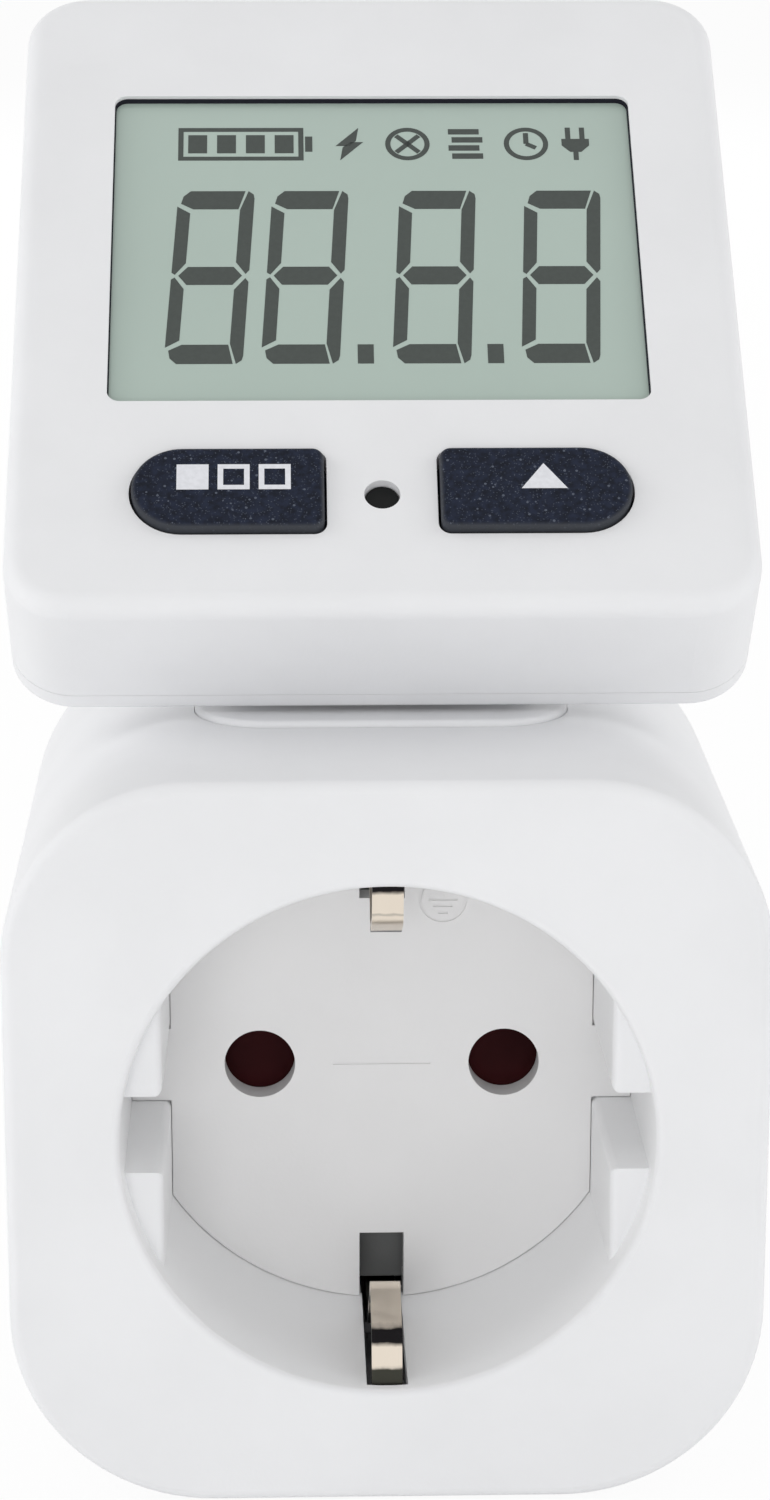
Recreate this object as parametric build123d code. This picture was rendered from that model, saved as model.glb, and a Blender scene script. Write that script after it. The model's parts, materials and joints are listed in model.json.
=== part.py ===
from build123d import *
import os
from math import cos, radians, sin, sqrt

# Plug-through energy cost meter, in millimetres.
# The origin is the centre of the plug's end face, +Y points into the wall, +Z is up.
# The socket faces -Y. A depth below is measured back from the socket's front face.

# Socket body
body_width = 56.2
body_top = 27.6
body_bottom = 28.6
body_depth = 47.0
body_wall = 2.0
face_wall = 2.4
top_corner_radius = 13.7
bottom_corner_radius = 15.0
front_edge_radius = 0.9
rear_edge_radius = 4.0
front_cover_depth = 27.0
lip_thickness = 0.9
lip_length = 1.4

# Socket recess
recess_radius = 19.72
recess_depth = 17.5
recess_wall = 1.7
recess_edge_radius = 0.6
key_flat_front = 16.62
key_flat_rear = 16.45
key_setback = 2.5
key_slot_height = 6.0
contact_spacing = 19.0
contact_hole_radius = 2.75
clip_slot_width = 3.5
clip_slot_setback = 1.2
clip_slot_reach = 5.5
upper_slot_reach = 6.25
wall_slot_width = 3.1
floor_thickness = 2.2
floor_step = 0.6
floor_skirt_height = 2.2
floor_skirt_wall = 1.5
earth_mark_radius = 1.86
earth_mark_rise = 13.35
earth_mark_offset = 4.7
earth_mark_line = 0.22
earth_mark_depth = 0.1
rating_rule_length = 7.6

# Shutter
shutter_thickness = 1.6
shutter_pivot_radius = 2.0
shutter_hub_radius = 4.2
shutter_wing_radius = 3.9
shutter_spring_thickness = 0.3
shutter_spring_width = 1.2
shutter_spring_length = 12.0

# Contacts inside the socket
carrier_thickness = 2.4
carrier_ear_radius = 2.2
carrier_ear_angle = 75.0
carrier_tower_radius = 5.0
carrier_tower_length = 8.6
sleeve_outer_radius = 3.3
sleeve_inner_radius = 2.46
sleeve_length = 12.0
sleeve_slit = 0.8
sleeve_tab_width = 2.0
strap_thickness = 0.6
strap_width = 2.3
clip_brow = 16.4
clip_brow_depth = 3.0
clip_crest = 14.15
clip_crest_depth = 7.6
clip_heel_depth = 14.5
strap_height = 20.4
strap_bend_radius = 1.3

# Plug
boss_radius = 18.6
boss_length = 16.0
boss_wall = 3.0
boss_end_wall = 3.0
boss_edge_radius = 1.0
spigot_length = 3.0
spigot_wall = 1.6
key_groove_width = 5.8
key_groove_depth = 1.8
pin_radius = 2.4
pin_length = 19.0
pin_tip_radius = 1.2
pin_stem_radius = 1.5
pin_shank_radius = 2.8
pin_flange_radius = 3.4
pin_flange_thickness = 1.4
clamp_thickness = 2.4
clamp_height = 12.0
earth_contact_width = 5.5
earth_contact_thickness = 0.8
earth_groove_depth = 1.2

# Main board
board_thickness = 1.6
board_side_gap = 2.1
board_end_gap = 10.1
board_depth = 35.6
board_post_radius = 2.2
board_post_inset = 3.2
filter_capacitor_length = 18.0
filter_capacitor_width = 7.0
filter_capacitor_height = 9.4
supply_capacitor_radius = 4.0
supply_capacitor_height = 9.8
supply_capacitor_inset = 4.3
varistor_radius = 4.6
varistor_thickness = 3.2
fuse_length = 8.4
fuse_width = 4.0
fuse_height = 7.6
shunt_length = 13.0
shunt_width = 3.0
shunt_height = 2.6
shunt_thickness = 0.8
chip_length = 10.0
chip_width = 6.2
chip_height = 1.7
header_length = 7.0
header_width = 3.0
header_height = 3.4

# Fasteners
housing_screw_radius = 1.3
housing_screw_head_radius = 2.5
housing_screw_head_height = 1.8
housing_screw_length = 26.0
housing_screw_inset = 8.6
housing_boss_radius = 3.0
housing_tube_radius = 3.7
small_screw_radius = 0.9
small_screw_head_radius = 1.7
small_screw_head_height = 1.1
small_screw_length = 6.0

# Display head: the face leans back from upright, and is placed by its lower edge
head_width = 56.5
head_height = 64.0
head_thickness = 12.75
head_shell_depth = 10.9
head_wall = 1.8
head_corner_radius = 5.0
head_edge_radius = 1.5
head_rear_edge_radius = 0.6
head_lean = 50.0
head_lower_depth = 10.2
head_lower_height = 38.1
head_boss_radius = 2.6
head_boss_inset = 4.6

# Window and display glass
window_side_margin = 7.4
window_top_margin = 11.95
window_rise = 19.8
window_corner_radius = 1.0
window_lip = 0.7
glass_margin = 1.8
glass_thickness = 2.2
reflector_thickness = 0.3
elastomer_width = 2.0
frame_wall = 1.0
display_board_gap = 5.2
display_board_thickness = 1.2
display_board_margin = 0.6

# Buttons and reset
button_height = 7.6
button_rise = 10.85
button_side_margin = 9.45
button_reset_gap = 2.99
button_inner_radius = 0.9
button_proud = 0.8
button_crown_radius = 0.45
button_gap = 0.2
button_flange_width = 0.9
button_flange_thickness = 0.8
button_travel = 0.7
button_stem_radius = 2.2
dome_wall = 0.7
reset_hole_radius = 1.36
reset_rise = 10.6
reset_body_width = 4.5
reset_body_height = 1.9
reset_plunger_radius = 1.25
reset_plunger_height = 2.65
reset_travel = 0.25

# Pieces behind the display board
cell_radius = 10.0
cell_thickness = 2.5
clip_sheet = 0.4
controller_size = 9.0
controller_height = 1.4
crystal_radius = 1.3
crystal_length = 6.0

# Hinge between head and body
hinge_rise = 12.6
hinge_offset = 4.4
hinge_radius = 4.0
hinge_pad_width = 28.6
hinge_pad_front = 15.5
hinge_pad_rear = 39.3
hinge_pad_corner = 5.5
hinge_pad_proud = 0.5
hinge_flange_width = 1.4
hinge_flange_thickness = 1.3
hinge_drum_half = 8.2
hinge_drum_wall = 1.8
hinge_drum_bore = 2.6
hinge_cheek_width = 3.0
hinge_pin_radius = 1.5
hinge_pin_head_radius = 2.3
hinge_pin_head_height = 0.7
washer_thickness = 0.4
washer_radius = 3.2
rib_half_width = 6.0

# Display lead
lead_width = 3.0
lead_thickness = 1.0
lead_x = 4.4

# Clearances
fit_gap = 0.15
seam_gap = 0.06
running_gap = 0.05
slide_gap = 0.3
seat_gap = 0.05
overrun = 1.0

front_y = -(body_depth + boss_length)
contact_x = contact_spacing / 2
lean = radians(head_lean)
floor_depth = recess_depth
shoulder_depth = recess_depth + floor_step
shutter_depth = floor_depth + floor_thickness + fit_gap
carrier_depth = floor_depth + floor_thickness + floor_skirt_height
carrier_back = carrier_depth + carrier_thickness
well_radius = recess_radius + recess_wall
floor_radius = well_radius - recess_wall / 2
strap_depth = carrier_back + strap_thickness / 2 + seat_gap
board_back = board_depth + board_thickness
rear_wall_depth = body_depth - body_wall
plug_end_depth = body_depth + boss_length
boss_inner_depth = plug_end_depth - boss_end_wall
spigot_radius = boss_radius - earth_groove_depth - fit_gap
board_width = body_width - 2 * (body_wall + board_side_gap)
board_height = 2 * (body_bottom - body_wall - board_end_gap)
board_post_x = board_width / 2 - board_post_inset
board_post_z = board_height / 2 - board_post_inset
housing_screw_x = body_width / 2 - housing_screw_inset
housing_screw_top = body_top - housing_screw_inset
housing_screw_low = body_bottom - housing_screw_inset
earth_contact_z = boss_radius - earth_groove_depth + earth_contact_thickness / 2 + seat_gap
head_floor = head_wall - head_thickness
display_board_front = -display_board_gap
display_board_back = -(display_board_gap + display_board_thickness)
hinge_behind = head_thickness + hinge_offset
hinge_depth = head_lower_depth + hinge_rise * sin(lean) + hinge_behind * cos(lean)
hinge_height = head_lower_height + hinge_rise * cos(lean) - hinge_behind * sin(lean)
pad_top = body_top + hinge_pad_proud
pad_under = body_top - body_wall - fit_gap
cheek_inner = hinge_drum_half + washer_thickness + 2 * running_gap
cheek_outer = cheek_inner + hinge_cheek_width
head_boss_x = head_width / 2 - head_boss_inset
head_boss_rows = (head_boss_inset, head_height - head_boss_inset)
button_reach = head_width / 2 - button_side_margin
button_length = button_reach - reset_hole_radius - button_reset_gap
key_centre_x = button_reach - button_length / 2
window_width = head_width - 2 * window_side_margin
window_height = head_height - window_rise - window_top_margin
glass_width = window_width + 2 * glass_margin
glass_height = window_height + 2 * glass_margin
window_middle = window_rise + window_height / 2
glass_front = -(window_lip + seat_gap)
glass_back = glass_front - glass_thickness
reflector_back = glass_back - reflector_thickness


def slab(outline, start, end):
    """Solid of an outline drawn in X and Z, from one depth behind the front face to another."""
    face = Plane.XZ * outline
    return Pos(0, front_y + end, 0) * extrude(face, amount=end - start, dir=(0, -1, 0))


def rod(x, z, radius, start, end):
    """Round rod along Y between two depths."""
    return slab(Pos(x, z) * Circle(radius), start, end)


def block(x0, x1, z0, z1, start, end):
    """Box between two places on X, two on Z and two depths."""
    return slab(Pos((x0 + x1) / 2, (z0 + z1) / 2) * Rectangle(x1 - x0, z1 - z0), start, end)


def side_profile(outline, x0, x1):
    """Solid of an outline drawn in depth and Z, between two places on X."""
    face = Plane.YZ * outline
    return Pos(x0, front_y, 0) * extrude(face, amount=x1 - x0, dir=(1, 0, 0))


def strip(points, radius, thickness, x0, x1):
    """Bent strip whose middle line runs in depth and Z and whose width runs along X."""
    line = FilletPolyline(*points, radius=radius)
    outline = make_face(offset(line, amount=thickness / 2, side=Side.BOTH).edges())
    return side_profile(outline, x0, x1)


def plate(outline, low, high):
    """Solid in the head's own frame: X across, Y up the face, Z out of the face."""
    return Pos(0, 0, low) * extrude(outline, amount=high - low, dir=(0, 0, 1))


def head_block(x0, x1, y0, y1, low, high):
    """Box in the head's own frame."""
    return plate(Pos((x0 + x1) / 2, (y0 + y1) / 2) * Rectangle(x1 - x0, y1 - y0), low, high)


def head_rod(x, y, radius, low, high):
    """Round rod square to the head's face, in the head's own frame."""
    return plate(Pos(x, y) * Circle(radius), low, high)


def on_head(shape):
    """Moves a solid from the head's own frame to its place on the object."""
    origin = (0, front_y + head_lower_depth, head_lower_height)
    face = Plane(origin=origin, x_dir=(1, 0, 0), z_dir=(0, -cos(lean), sin(lean)))
    return face.location * shape


def cross_rod(y, z, radius, x0, x1):
    """Round rod along X in the head's own frame."""
    face = Plane(origin=(x0, y, z), x_dir=(0, 1, 0), z_dir=(1, 0, 0)) * Circle(radius)
    return extrude(face, amount=x1 - x0, dir=(1, 0, 0))


def screw(shank_radius, length, head_radius, head_height):
    """Screw along Z with its tip at the origin and its head on top, with a slot in it."""
    shank = extrude(Circle(shank_radius), amount=length)
    head = Pos(0, 0, length) * extrude(Circle(head_radius), amount=head_height)
    slot = Pos(0, 0, length + head_height) * Box(2 * head_radius, head_radius / 3, head_height)
    return shank + head - slot


def small_screw():
    return screw(small_screw_radius, small_screw_length, small_screw_head_radius, small_screw_head_height)


def body_section(inset):
    """Outline of the body in X and Z, drawn inside its outer faces by the inset."""
    width = body_width - 2 * inset
    height = body_top + body_bottom - 2 * inset
    section = Pos(0, (body_top - body_bottom) / 2) * Rectangle(width, height)
    section = fillet(section.vertices().sort_by(Axis.Y)[-2:], top_corner_radius - inset)
    return fillet(section.vertices().sort_by(Axis.Y)[:2], bottom_corner_radius - inset)


def corner_places():
    """X and Z of the four housing screws."""
    return [(side * housing_screw_x, z) for side in (-1, 1) for z in (housing_screw_top, -housing_screw_low)]


def hinge_opening(grow, low, high):
    """Rounded block in plan for the hinge foot, grown all round, between two heights."""
    length = hinge_pad_rear - hinge_pad_front + 2 * grow
    outline = RectangleRounded(hinge_pad_width + 2 * grow, length, hinge_pad_corner + grow)
    middle = front_y + (hinge_pad_front + hinge_pad_rear) / 2
    return Pos(0, middle, low) * extrude(outline, amount=high - low)


def key_blocks():
    """Blocks on both sides of the recess that leave the plug its channel."""
    ring = rod(0, 0, recess_radius + recess_wall / 2, key_setback, shoulder_depth)
    tall = recess_radius + overrun
    corners = [
        (-key_flat_front, key_setback - overrun),
        (key_flat_front, key_setback - overrun),
        (key_flat_front, key_setback),
        (key_flat_rear, recess_depth),
        (key_flat_rear, shoulder_depth + overrun),
        (-key_flat_rear, shoulder_depth + overrun),
        (-key_flat_rear, recess_depth),
        (-key_flat_front, key_setback),
    ]
    channel = make_face(Polyline(*corners, close=True))
    channel = Pos(0, front_y, -tall) * extrude(channel, amount=2 * tall)
    slot = block(-recess_radius, recess_radius, -key_slot_height / 2, key_slot_height / 2, 0, plug_end_depth)
    blocks = ring - channel - slot
    fronts = blocks.faces().filter_by(Axis.Y).group_by(Axis.Y)[0].edges().filter_by(Axis.Z)
    inner = blocks.edges().filter_by(
        lambda edge: abs(abs(edge.center().Z) - key_slot_height / 2) < running_gap
        and abs(edge.center().X) < key_flat_front and edge.length > recess_depth / 2)
    return fillet(fronts + inner, recess_edge_radius)


def front_cover():
    """Front shell with the recess, the screw bosses and the rib under the hinge foot."""
    shell = slab(body_section(0), 0, front_cover_depth)
    rim = shell.faces().sort_by(Axis.Y)[0].edges()
    shell = fillet(rim, front_edge_radius)
    shell -= slab(body_section(body_wall), face_wall, front_cover_depth + overrun)
    shell += rod(0, 0, well_radius, face_wall / 2, carrier_depth)
    for x, z in corner_places():
        shell += rod(x, z, housing_boss_radius, face_wall / 2, front_cover_depth - lip_length)
    for x, z in carrier_ears():
        shell += rod(x, z, carrier_ear_radius, face_wall / 2, carrier_depth)
    shell += block(-rib_half_width, rib_half_width, recess_radius, rib_top(),
                   hinge_pad_front - hinge_flange_width, carrier_depth)
    shell -= rod(0, 0, recess_radius, -overrun, shoulder_depth)
    shell -= rod(0, 0, floor_radius + fit_gap, shoulder_depth, carrier_depth + overrun)
    mouth = shell.edges().filter_by(GeomType.CIRCLE).group_by(Axis.Y)[0].filter_by(
        lambda edge: abs(edge.radius - recess_radius) < running_gap)
    shell = fillet(mouth, recess_edge_radius)
    shell += key_blocks()
    half = wall_slot_width / 2
    shell -= block(-half, half, -well_radius - overrun, -clip_crest, clip_slot_setback, carrier_depth + overrun)
    shell -= block(-half, half, clip_crest, well_radius + seat_gap, clip_slot_setback, carrier_depth + overrun)
    for x, z in corner_places():
        shell -= rod(x, z, housing_screw_radius, screw_tip_depth(), front_cover_depth + overrun)
    for x, z in carrier_ears():
        tip = carrier_back - small_screw_length
        shell -= rod(x, z, small_screw_radius, tip, carrier_depth + overrun)
    shell -= hinge_opening(seam_gap, pad_under - overrun, body_top + overrun)
    return shell


def carrier_ears():
    """X and Z of the two ears below the recess that hold the contact carrier."""
    reach = well_radius + carrier_ear_radius - seat_gap
    angle = radians(carrier_ear_angle)
    return [(side * reach * cos(angle), -reach * sin(angle)) for side in (-1, 1)]


def screw_tip_depth():
    """Depth of the housing screws' tips."""
    return body_depth - rear_screw_seat() - housing_screw_length


def rear_screw_seat():
    """Depth of the counterbore that the housing screws' heads sit in, from the rear face."""
    return housing_screw_head_height + body_wall


def rib_top():
    """Height of the ribs that carry the hinge foot's flange."""
    return pad_under - hinge_flange_thickness - seat_gap


def lip():
    """Ring on the rear cover that locates it inside the front cover."""
    inset = body_wall + fit_gap
    start = front_cover_depth - lip_length
    ring = slab(body_section(inset), start, front_cover_depth + body_wall)
    ring -= slab(body_section(inset + lip_thickness), start - overrun, front_cover_depth + body_wall + overrun)
    keep_out = hinge_pad_width / 2 + hinge_flange_width + fit_gap
    ring -= block(-keep_out, keep_out, 0, body_top, start - overrun, front_cover_depth + body_wall + overrun)
    step = slab(body_section(body_wall / 2), front_cover_depth, front_cover_depth + body_wall)
    step -= slab(body_section(inset + lip_thickness), front_cover_depth - overrun,
                 front_cover_depth + body_wall + overrun)
    step -= block(-keep_out, keep_out, 0, body_top, front_cover_depth, front_cover_depth + body_wall)
    return ring + step


def rear_cover():
    """Rear shell with the hole for the plug body, the board posts and the screw tubes."""
    shell = slab(body_section(0), front_cover_depth, body_depth)
    rim = shell.faces().sort_by(Axis.Y)[-1].edges()
    shell = fillet(rim, rear_edge_radius)
    shell -= slab(body_section(body_wall), front_cover_depth - overrun, rear_wall_depth)
    shell += lip()
    for x, z in corner_places():
        shell += rod(x, z, housing_tube_radius, front_cover_depth - lip_length + seat_gap,
                     body_depth - body_wall / 2)
    for x in (-board_post_x, board_post_x):
        for z in (-board_post_z, board_post_z):
            shell += rod(x, z, board_post_radius, board_back + seat_gap, body_depth - body_wall / 2)
    shell += block(-rib_half_width, rib_half_width, rib_top() - body_wall, rib_top(),
                   hinge_pad_rear - hinge_flange_width, body_depth - body_wall / 2)
    shell -= rod(0, 0, spigot_radius + seat_gap, rear_wall_depth - overrun, body_depth + overrun)
    half = earth_contact_width / 2 + fit_gap
    slot_reach = boss_radius - earth_groove_depth + earth_contact_thickness + 2 * fit_gap
    shell -= block(-half, half, -slot_reach, slot_reach, rear_wall_depth - overrun, body_depth + overrun)
    for x, z in corner_places():
        shell -= rod(x, z, housing_screw_radius + fit_gap, front_cover_depth - lip_length - overrun,
                     body_depth + overrun)
        shell -= rod(x, z, housing_screw_head_radius + slide_gap, body_depth - rear_screw_seat(),
                     body_depth + overrun)
    for x in (-board_post_x, board_post_x):
        for z in (-board_post_z, board_post_z):
            shell -= rod(x, z, small_screw_radius, board_back - overrun, small_screw_tip())
    shell -= hinge_opening(seam_gap, pad_under - overrun, body_top + overrun)
    return shell


def plug_body():
    """Round boss of the plug with its grooves and pin holes, and a spigot through the rear wall."""
    body = rod(0, 0, boss_radius, body_depth + seat_gap, plug_end_depth)
    tip = body.edges().filter_by(GeomType.CIRCLE).sort_by(Axis.Y)[-1]
    body = fillet(tip, boss_edge_radius)
    body += rod(0, 0, spigot_radius, body_depth - spigot_length, body_depth + boss_wall)
    body -= rod(0, 0, spigot_radius - spigot_wall, body_depth - spigot_length - overrun, boss_inner_depth)
    for side in (-1, 1):
        edge = boss_radius - key_groove_depth
        low, high = sorted((side * edge, side * (boss_radius + overrun)))
        body -= block(low, high, -key_groove_width / 2, key_groove_width / 2, body_depth, plug_end_depth + overrun)
        body -= rod(side * contact_x, 0, pin_shank_radius + running_gap, boss_inner_depth - overrun,
                    plug_end_depth + overrun)
    half = earth_contact_width / 2 + fit_gap
    for side in (-1, 1):
        edge = boss_radius - earth_groove_depth
        low, high = sorted((side * edge, side * (boss_radius + overrun)))
        body -= block(-half, half, low, high, body_depth, plug_end_depth + overrun)
    return body


def small_screw_tip():
    """Depth that the main board's screws reach to."""
    return board_depth + small_screw_length


def socket_floor():
    """Floor of the recess with its contact holes, skirt, shutter pivot and clip slots."""
    skirt_end = carrier_depth - seat_gap
    body = rod(0, 0, floor_radius, shoulder_depth + seat_gap, skirt_end)
    reach = recess_radius - seam_gap
    disc = Rectangle(2 * (key_flat_rear - seam_gap), 2 * reach) + Rectangle(2 * reach, key_slot_height - 2 * seam_gap)
    body += slab(Circle(reach) & disc, floor_depth, floor_depth + floor_thickness)
    body -= rod(0, 0, floor_radius - floor_skirt_wall, floor_depth + floor_thickness, carrier_depth + overrun)
    body += rod(0, 0, shutter_pivot_radius, floor_depth, skirt_end)
    for side in (-1, 1):
        body -= rod(side * contact_x, 0, contact_hole_radius, recess_depth - overrun,
                    floor_depth + floor_thickness + overrun)
    half = clip_slot_width / 2
    for side, reach in ((-1, clip_slot_reach), (1, upper_slot_reach)):
        edge = recess_radius - reach
        low, high = sorted((side * edge, side * (well_radius + overrun)))
        body -= block(-half, half, low, high, recess_depth - overrun, carrier_depth + overrun)
    return body - floor_marks()


def floor_marks():
    """Cuts for the earth sign beside the upper clip and the plain rule between the contact holes."""
    x, z = earth_mark_offset, earth_mark_rise
    top = floor_depth - overrun
    bottom = floor_depth + earth_mark_depth
    ring = rod(x, z, earth_mark_radius, top, bottom) - rod(x, z, earth_mark_radius - earth_mark_line, top, bottom)
    half = earth_mark_line / 2
    marks = ring + block(x - half, x + half, z, z + earth_mark_radius, top, bottom)
    for row in range(3):
        reach = earth_mark_radius * (3 - row) / 5
        level = z - row * earth_mark_radius / 3.5
        marks += block(x - reach, x + reach, level - half, level + half, top, bottom)
    rule = rating_rule_length / 2
    return marks + block(-rule, rule, -half, half, top, bottom)


def shutter():
    """Turning blind with two wings that close the contact holes from behind."""
    end = shutter_depth + shutter_thickness
    wing = Circle(shutter_hub_radius)
    for side in (-1, 1):
        wing += Pos(side * contact_x, 0) * Circle(shutter_wing_radius)
    wing += Rectangle(2 * contact_x, shutter_wing_radius)
    body = slab(wing, shutter_depth, end)
    return body - rod(0, 0, shutter_pivot_radius + running_gap, shutter_depth - overrun, end + overrun)


def shutter_spring():
    """Leaf held in the floor's skirt that presses the right wing back over its hole."""
    low = shutter_wing_radius + seat_gap
    high = low + shutter_spring_thickness
    skirt = floor_radius - floor_skirt_wall
    tip = sqrt(skirt ** 2 - high ** 2) - seat_gap
    end = shutter_depth + shutter_thickness
    return block(tip - shutter_spring_length, tip, low, high, end - shutter_spring_width, end)


def contact_carrier():
    """Insulating plate with a tower round each contact, screwed behind the socket's floor."""
    body = rod(0, 0, well_radius, carrier_depth, carrier_back)
    for x, z in carrier_ears():
        body += rod(x, z, carrier_ear_radius, carrier_depth, carrier_back)
        body -= rod(x, z, small_screw_radius + running_gap, carrier_depth - overrun, carrier_back + overrun)
    for side in (-1, 1):
        body += rod(side * contact_x, 0, carrier_tower_radius, carrier_depth, carrier_back + carrier_tower_length)
    half = clip_slot_width / 2
    for side in (-1, 1):
        body -= rod(side * contact_x, 0, sleeve_outer_radius + running_gap, carrier_depth + fit_gap,
                    carrier_back + carrier_tower_length + overrun)
        body -= rod(side * contact_x, 0, contact_hole_radius, carrier_depth - overrun, carrier_back)
        for edge, start in ((strap_height - strap_thickness, carrier_depth - overrun),
                            (strap_height - strap_bend_radius - seat_gap, carrier_back - strap_bend_radius)):
            low, high = sorted((side * edge, side * (well_radius + overrun)))
            body -= block(-half, half, low, high, start, carrier_back + overrun)
    return body


def contact_sleeve(side):
    """Split brass sleeve that grips a pin, with a tab to the main board."""
    x = side * contact_x
    start = carrier_depth + 2 * fit_gap
    end = start + sleeve_length
    tube = rod(x, 0, sleeve_outer_radius, start, end)
    tube -= rod(x, 0, sleeve_inner_radius, start - overrun, end - board_thickness)
    tube -= block(x - sleeve_slit / 2, x + sleeve_slit / 2, -sleeve_outer_radius, 0, start - overrun,
                  end - 2 * board_thickness)
    top = sleeve_outer_radius
    bottom = top - (sleeve_outer_radius - sleeve_inner_radius)
    half = sleeve_tab_width / 2
    return tube + block(x - half, x + half, bottom, top - running_gap, end - board_thickness, board_back)


def earth_strap():
    """One bent strip: both earth clips of the socket and the bar behind the carrier."""
    tip = recess_radius + recess_wall / 2
    half_line = [
        (clip_slot_setback + strap_thickness, tip),
        (clip_brow_depth, clip_brow),
        (clip_crest_depth, clip_crest),
        (clip_heel_depth, strap_height),
        (strap_depth, strap_height),
    ]
    points = half_line + [(depth, -z) for depth, z in reversed(half_line)]
    return strip(points, strap_bend_radius, strap_thickness, -strap_width / 2, strap_width / 2)


def carrier_screws():
    pieces = []
    for x, z in carrier_ears():
        tip = front_y + carrier_back - small_screw_length + seat_gap
        pieces.append(Pos(x, tip, z) * Rot(-90, 0, 0) * small_screw())
    return Compound(children=pieces)


def board_outline():
    """Main board with holes for pins, tabs and screws."""
    board = RectangleRounded(board_width, board_height, board_post_inset / 2)
    for side in (-1, 1):
        board -= Pos(side * contact_x, 0) * Circle(pin_stem_radius + running_gap)
        tab_z = (sleeve_outer_radius + sleeve_inner_radius) / 2
        slot = Rectangle(sleeve_tab_width + 2 * running_gap, sleeve_outer_radius - sleeve_inner_radius
                         + 2 * running_gap)
        board -= Pos(side * contact_x, tab_z) * slot
        for z in (-board_post_z, board_post_z):
            board -= Pos(side * board_post_x, z) * Circle(small_screw_radius + running_gap)
    for x, z in corner_places():
        board -= Pos(x, z) * Circle(housing_tube_radius + slide_gap)
    return board


def main_board():
    return slab(board_outline(), board_depth, board_back)


def board_screws():
    pieces = []
    for x in (-board_post_x, board_post_x):
        for z in (-board_post_z, board_post_z):
            tip = front_y + small_screw_tip()
            pieces.append(Pos(x, tip, z) * Rot(90, 0, 0) * small_screw())
    return Compound(children=pieces)


def filter_capacitor():
    """Box capacitor on the front of the board, above the contact towers."""
    z = carrier_tower_radius + slide_gap
    case = block(-filter_capacitor_length / 2, filter_capacitor_length / 2, z, z + filter_capacitor_width,
                 board_depth - filter_capacitor_height, board_depth)
    return fillet(case.edges().filter_by(Axis.Y), filter_capacitor_width / 10)


def supply_capacitor_x():
    """X of the capacitor, kept clear of the board's lower left screw."""
    return -(board_post_x - supply_capacitor_inset)


def supply_capacitor():
    x = supply_capacitor_x()
    z = -(carrier_tower_radius + slide_gap + supply_capacitor_radius)
    can = rod(x, z, supply_capacitor_radius, board_depth - supply_capacitor_height, board_depth)
    rims = can.edges().filter_by(GeomType.CIRCLE)
    return fillet(rims, supply_capacitor_radius / 10)


def varistor():
    """Disc across the mains, standing on the board below the right contact."""
    z = -(carrier_tower_radius + slide_gap + varistor_thickness / 2)
    disc = Pos(contact_x, front_y + board_depth - varistor_radius, z) * Cylinder(varistor_radius, varistor_thickness)
    return fillet(disc.edges().filter_by(GeomType.CIRCLE), varistor_thickness / 4)


def fuse():
    z = -(carrier_tower_radius + slide_gap + fuse_width / 2)
    x = supply_capacitor_x() + supply_capacitor_radius + slide_gap
    return block(x, x + fuse_length, z - fuse_width / 2, z + fuse_width / 2,
                 board_depth - fuse_height, board_depth)


def shunt():
    """Flat bridge on the back of the board that the load current passes."""
    z = -board_height / 4
    half = shunt_length / 2
    body = block(-half, half, z - shunt_width / 2, z + shunt_width / 2, board_back, board_back + shunt_height)
    inner = half - shunt_thickness
    return body - block(-inner, inner, z - shunt_width, z + shunt_width, board_back - overrun,
                        board_back + shunt_height - shunt_thickness)


def metering_chip():
    z = board_height / 4
    return block(-chip_length / 2, chip_length / 2, z - chip_width / 2, z + chip_width / 2, board_back,
                 board_back + chip_height)


def main_header():
    """Socket for the display lead on the front of the board, at its top edge."""
    top = board_height / 2
    return block(lead_x - header_length / 2, lead_x + header_length / 2, top - header_width, top,
                 board_depth - header_height, board_depth)


def plug_pin(side):
    """Solid plug pin with a flange inside the boss and a stem to the main board."""
    x = side * contact_x
    tip_depth = plug_end_depth + pin_length
    pin = rod(x, 0, pin_radius, boss_inner_depth - pin_flange_thickness, tip_depth)
    tip = pin.edges().filter_by(GeomType.CIRCLE).sort_by(Axis.Y)[-1]
    pin = fillet(tip, pin_tip_radius)
    pin += rod(x, 0, pin_shank_radius, boss_inner_depth - pin_flange_thickness, plug_end_depth)
    pin += rod(x, 0, pin_flange_radius, boss_inner_depth - pin_flange_thickness, boss_inner_depth - seat_gap)
    return pin + rod(x, 0, pin_stem_radius, board_depth, boss_inner_depth - pin_flange_thickness)


def pin_clamp():
    """Plate inside the boss that keeps the pins' flanges against its end wall."""
    radius = spigot_radius - spigot_wall - fit_gap
    end = boss_inner_depth - pin_flange_thickness - seat_gap
    outline = Circle(radius) & Rectangle(2 * radius, clamp_height)
    for side in (-1, 1):
        outline -= Pos(side * contact_x, 0) * Circle(pin_stem_radius + running_gap)
    body = slab(outline, end - clamp_thickness, end)
    rail = Circle(radius) & (Pos(0, clamp_height / 2 - clamp_thickness / 2) * Rectangle(2 * radius, clamp_thickness))
    rail += Circle(radius) & (Pos(0, -clamp_height / 2 + clamp_thickness / 2) * Rectangle(2 * radius, clamp_thickness))
    return body + slab(rail, end - clamp_thickness / 2, boss_inner_depth - seat_gap)


def plug_earth_contacts():
    """Strips in the boss's grooves that run forward to the earth strap."""
    pieces = []
    half = earth_contact_width / 2
    tail_half = strap_width / 2
    t = earth_contact_thickness / 2
    for side in (-1, 1):
        low, high = sorted((side * (earth_contact_z - t), side * (earth_contact_z + t)))
        wide = block(-half, half, low, high, body_depth - 2 * body_wall, plug_end_depth - boss_edge_radius)
        tail = block(-tail_half, tail_half, low, high, strap_depth + strap_thickness / 2 + seat_gap,
                     body_depth - body_wall)
        pieces.append(wide + tail)
    return Compound(children=pieces)


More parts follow.
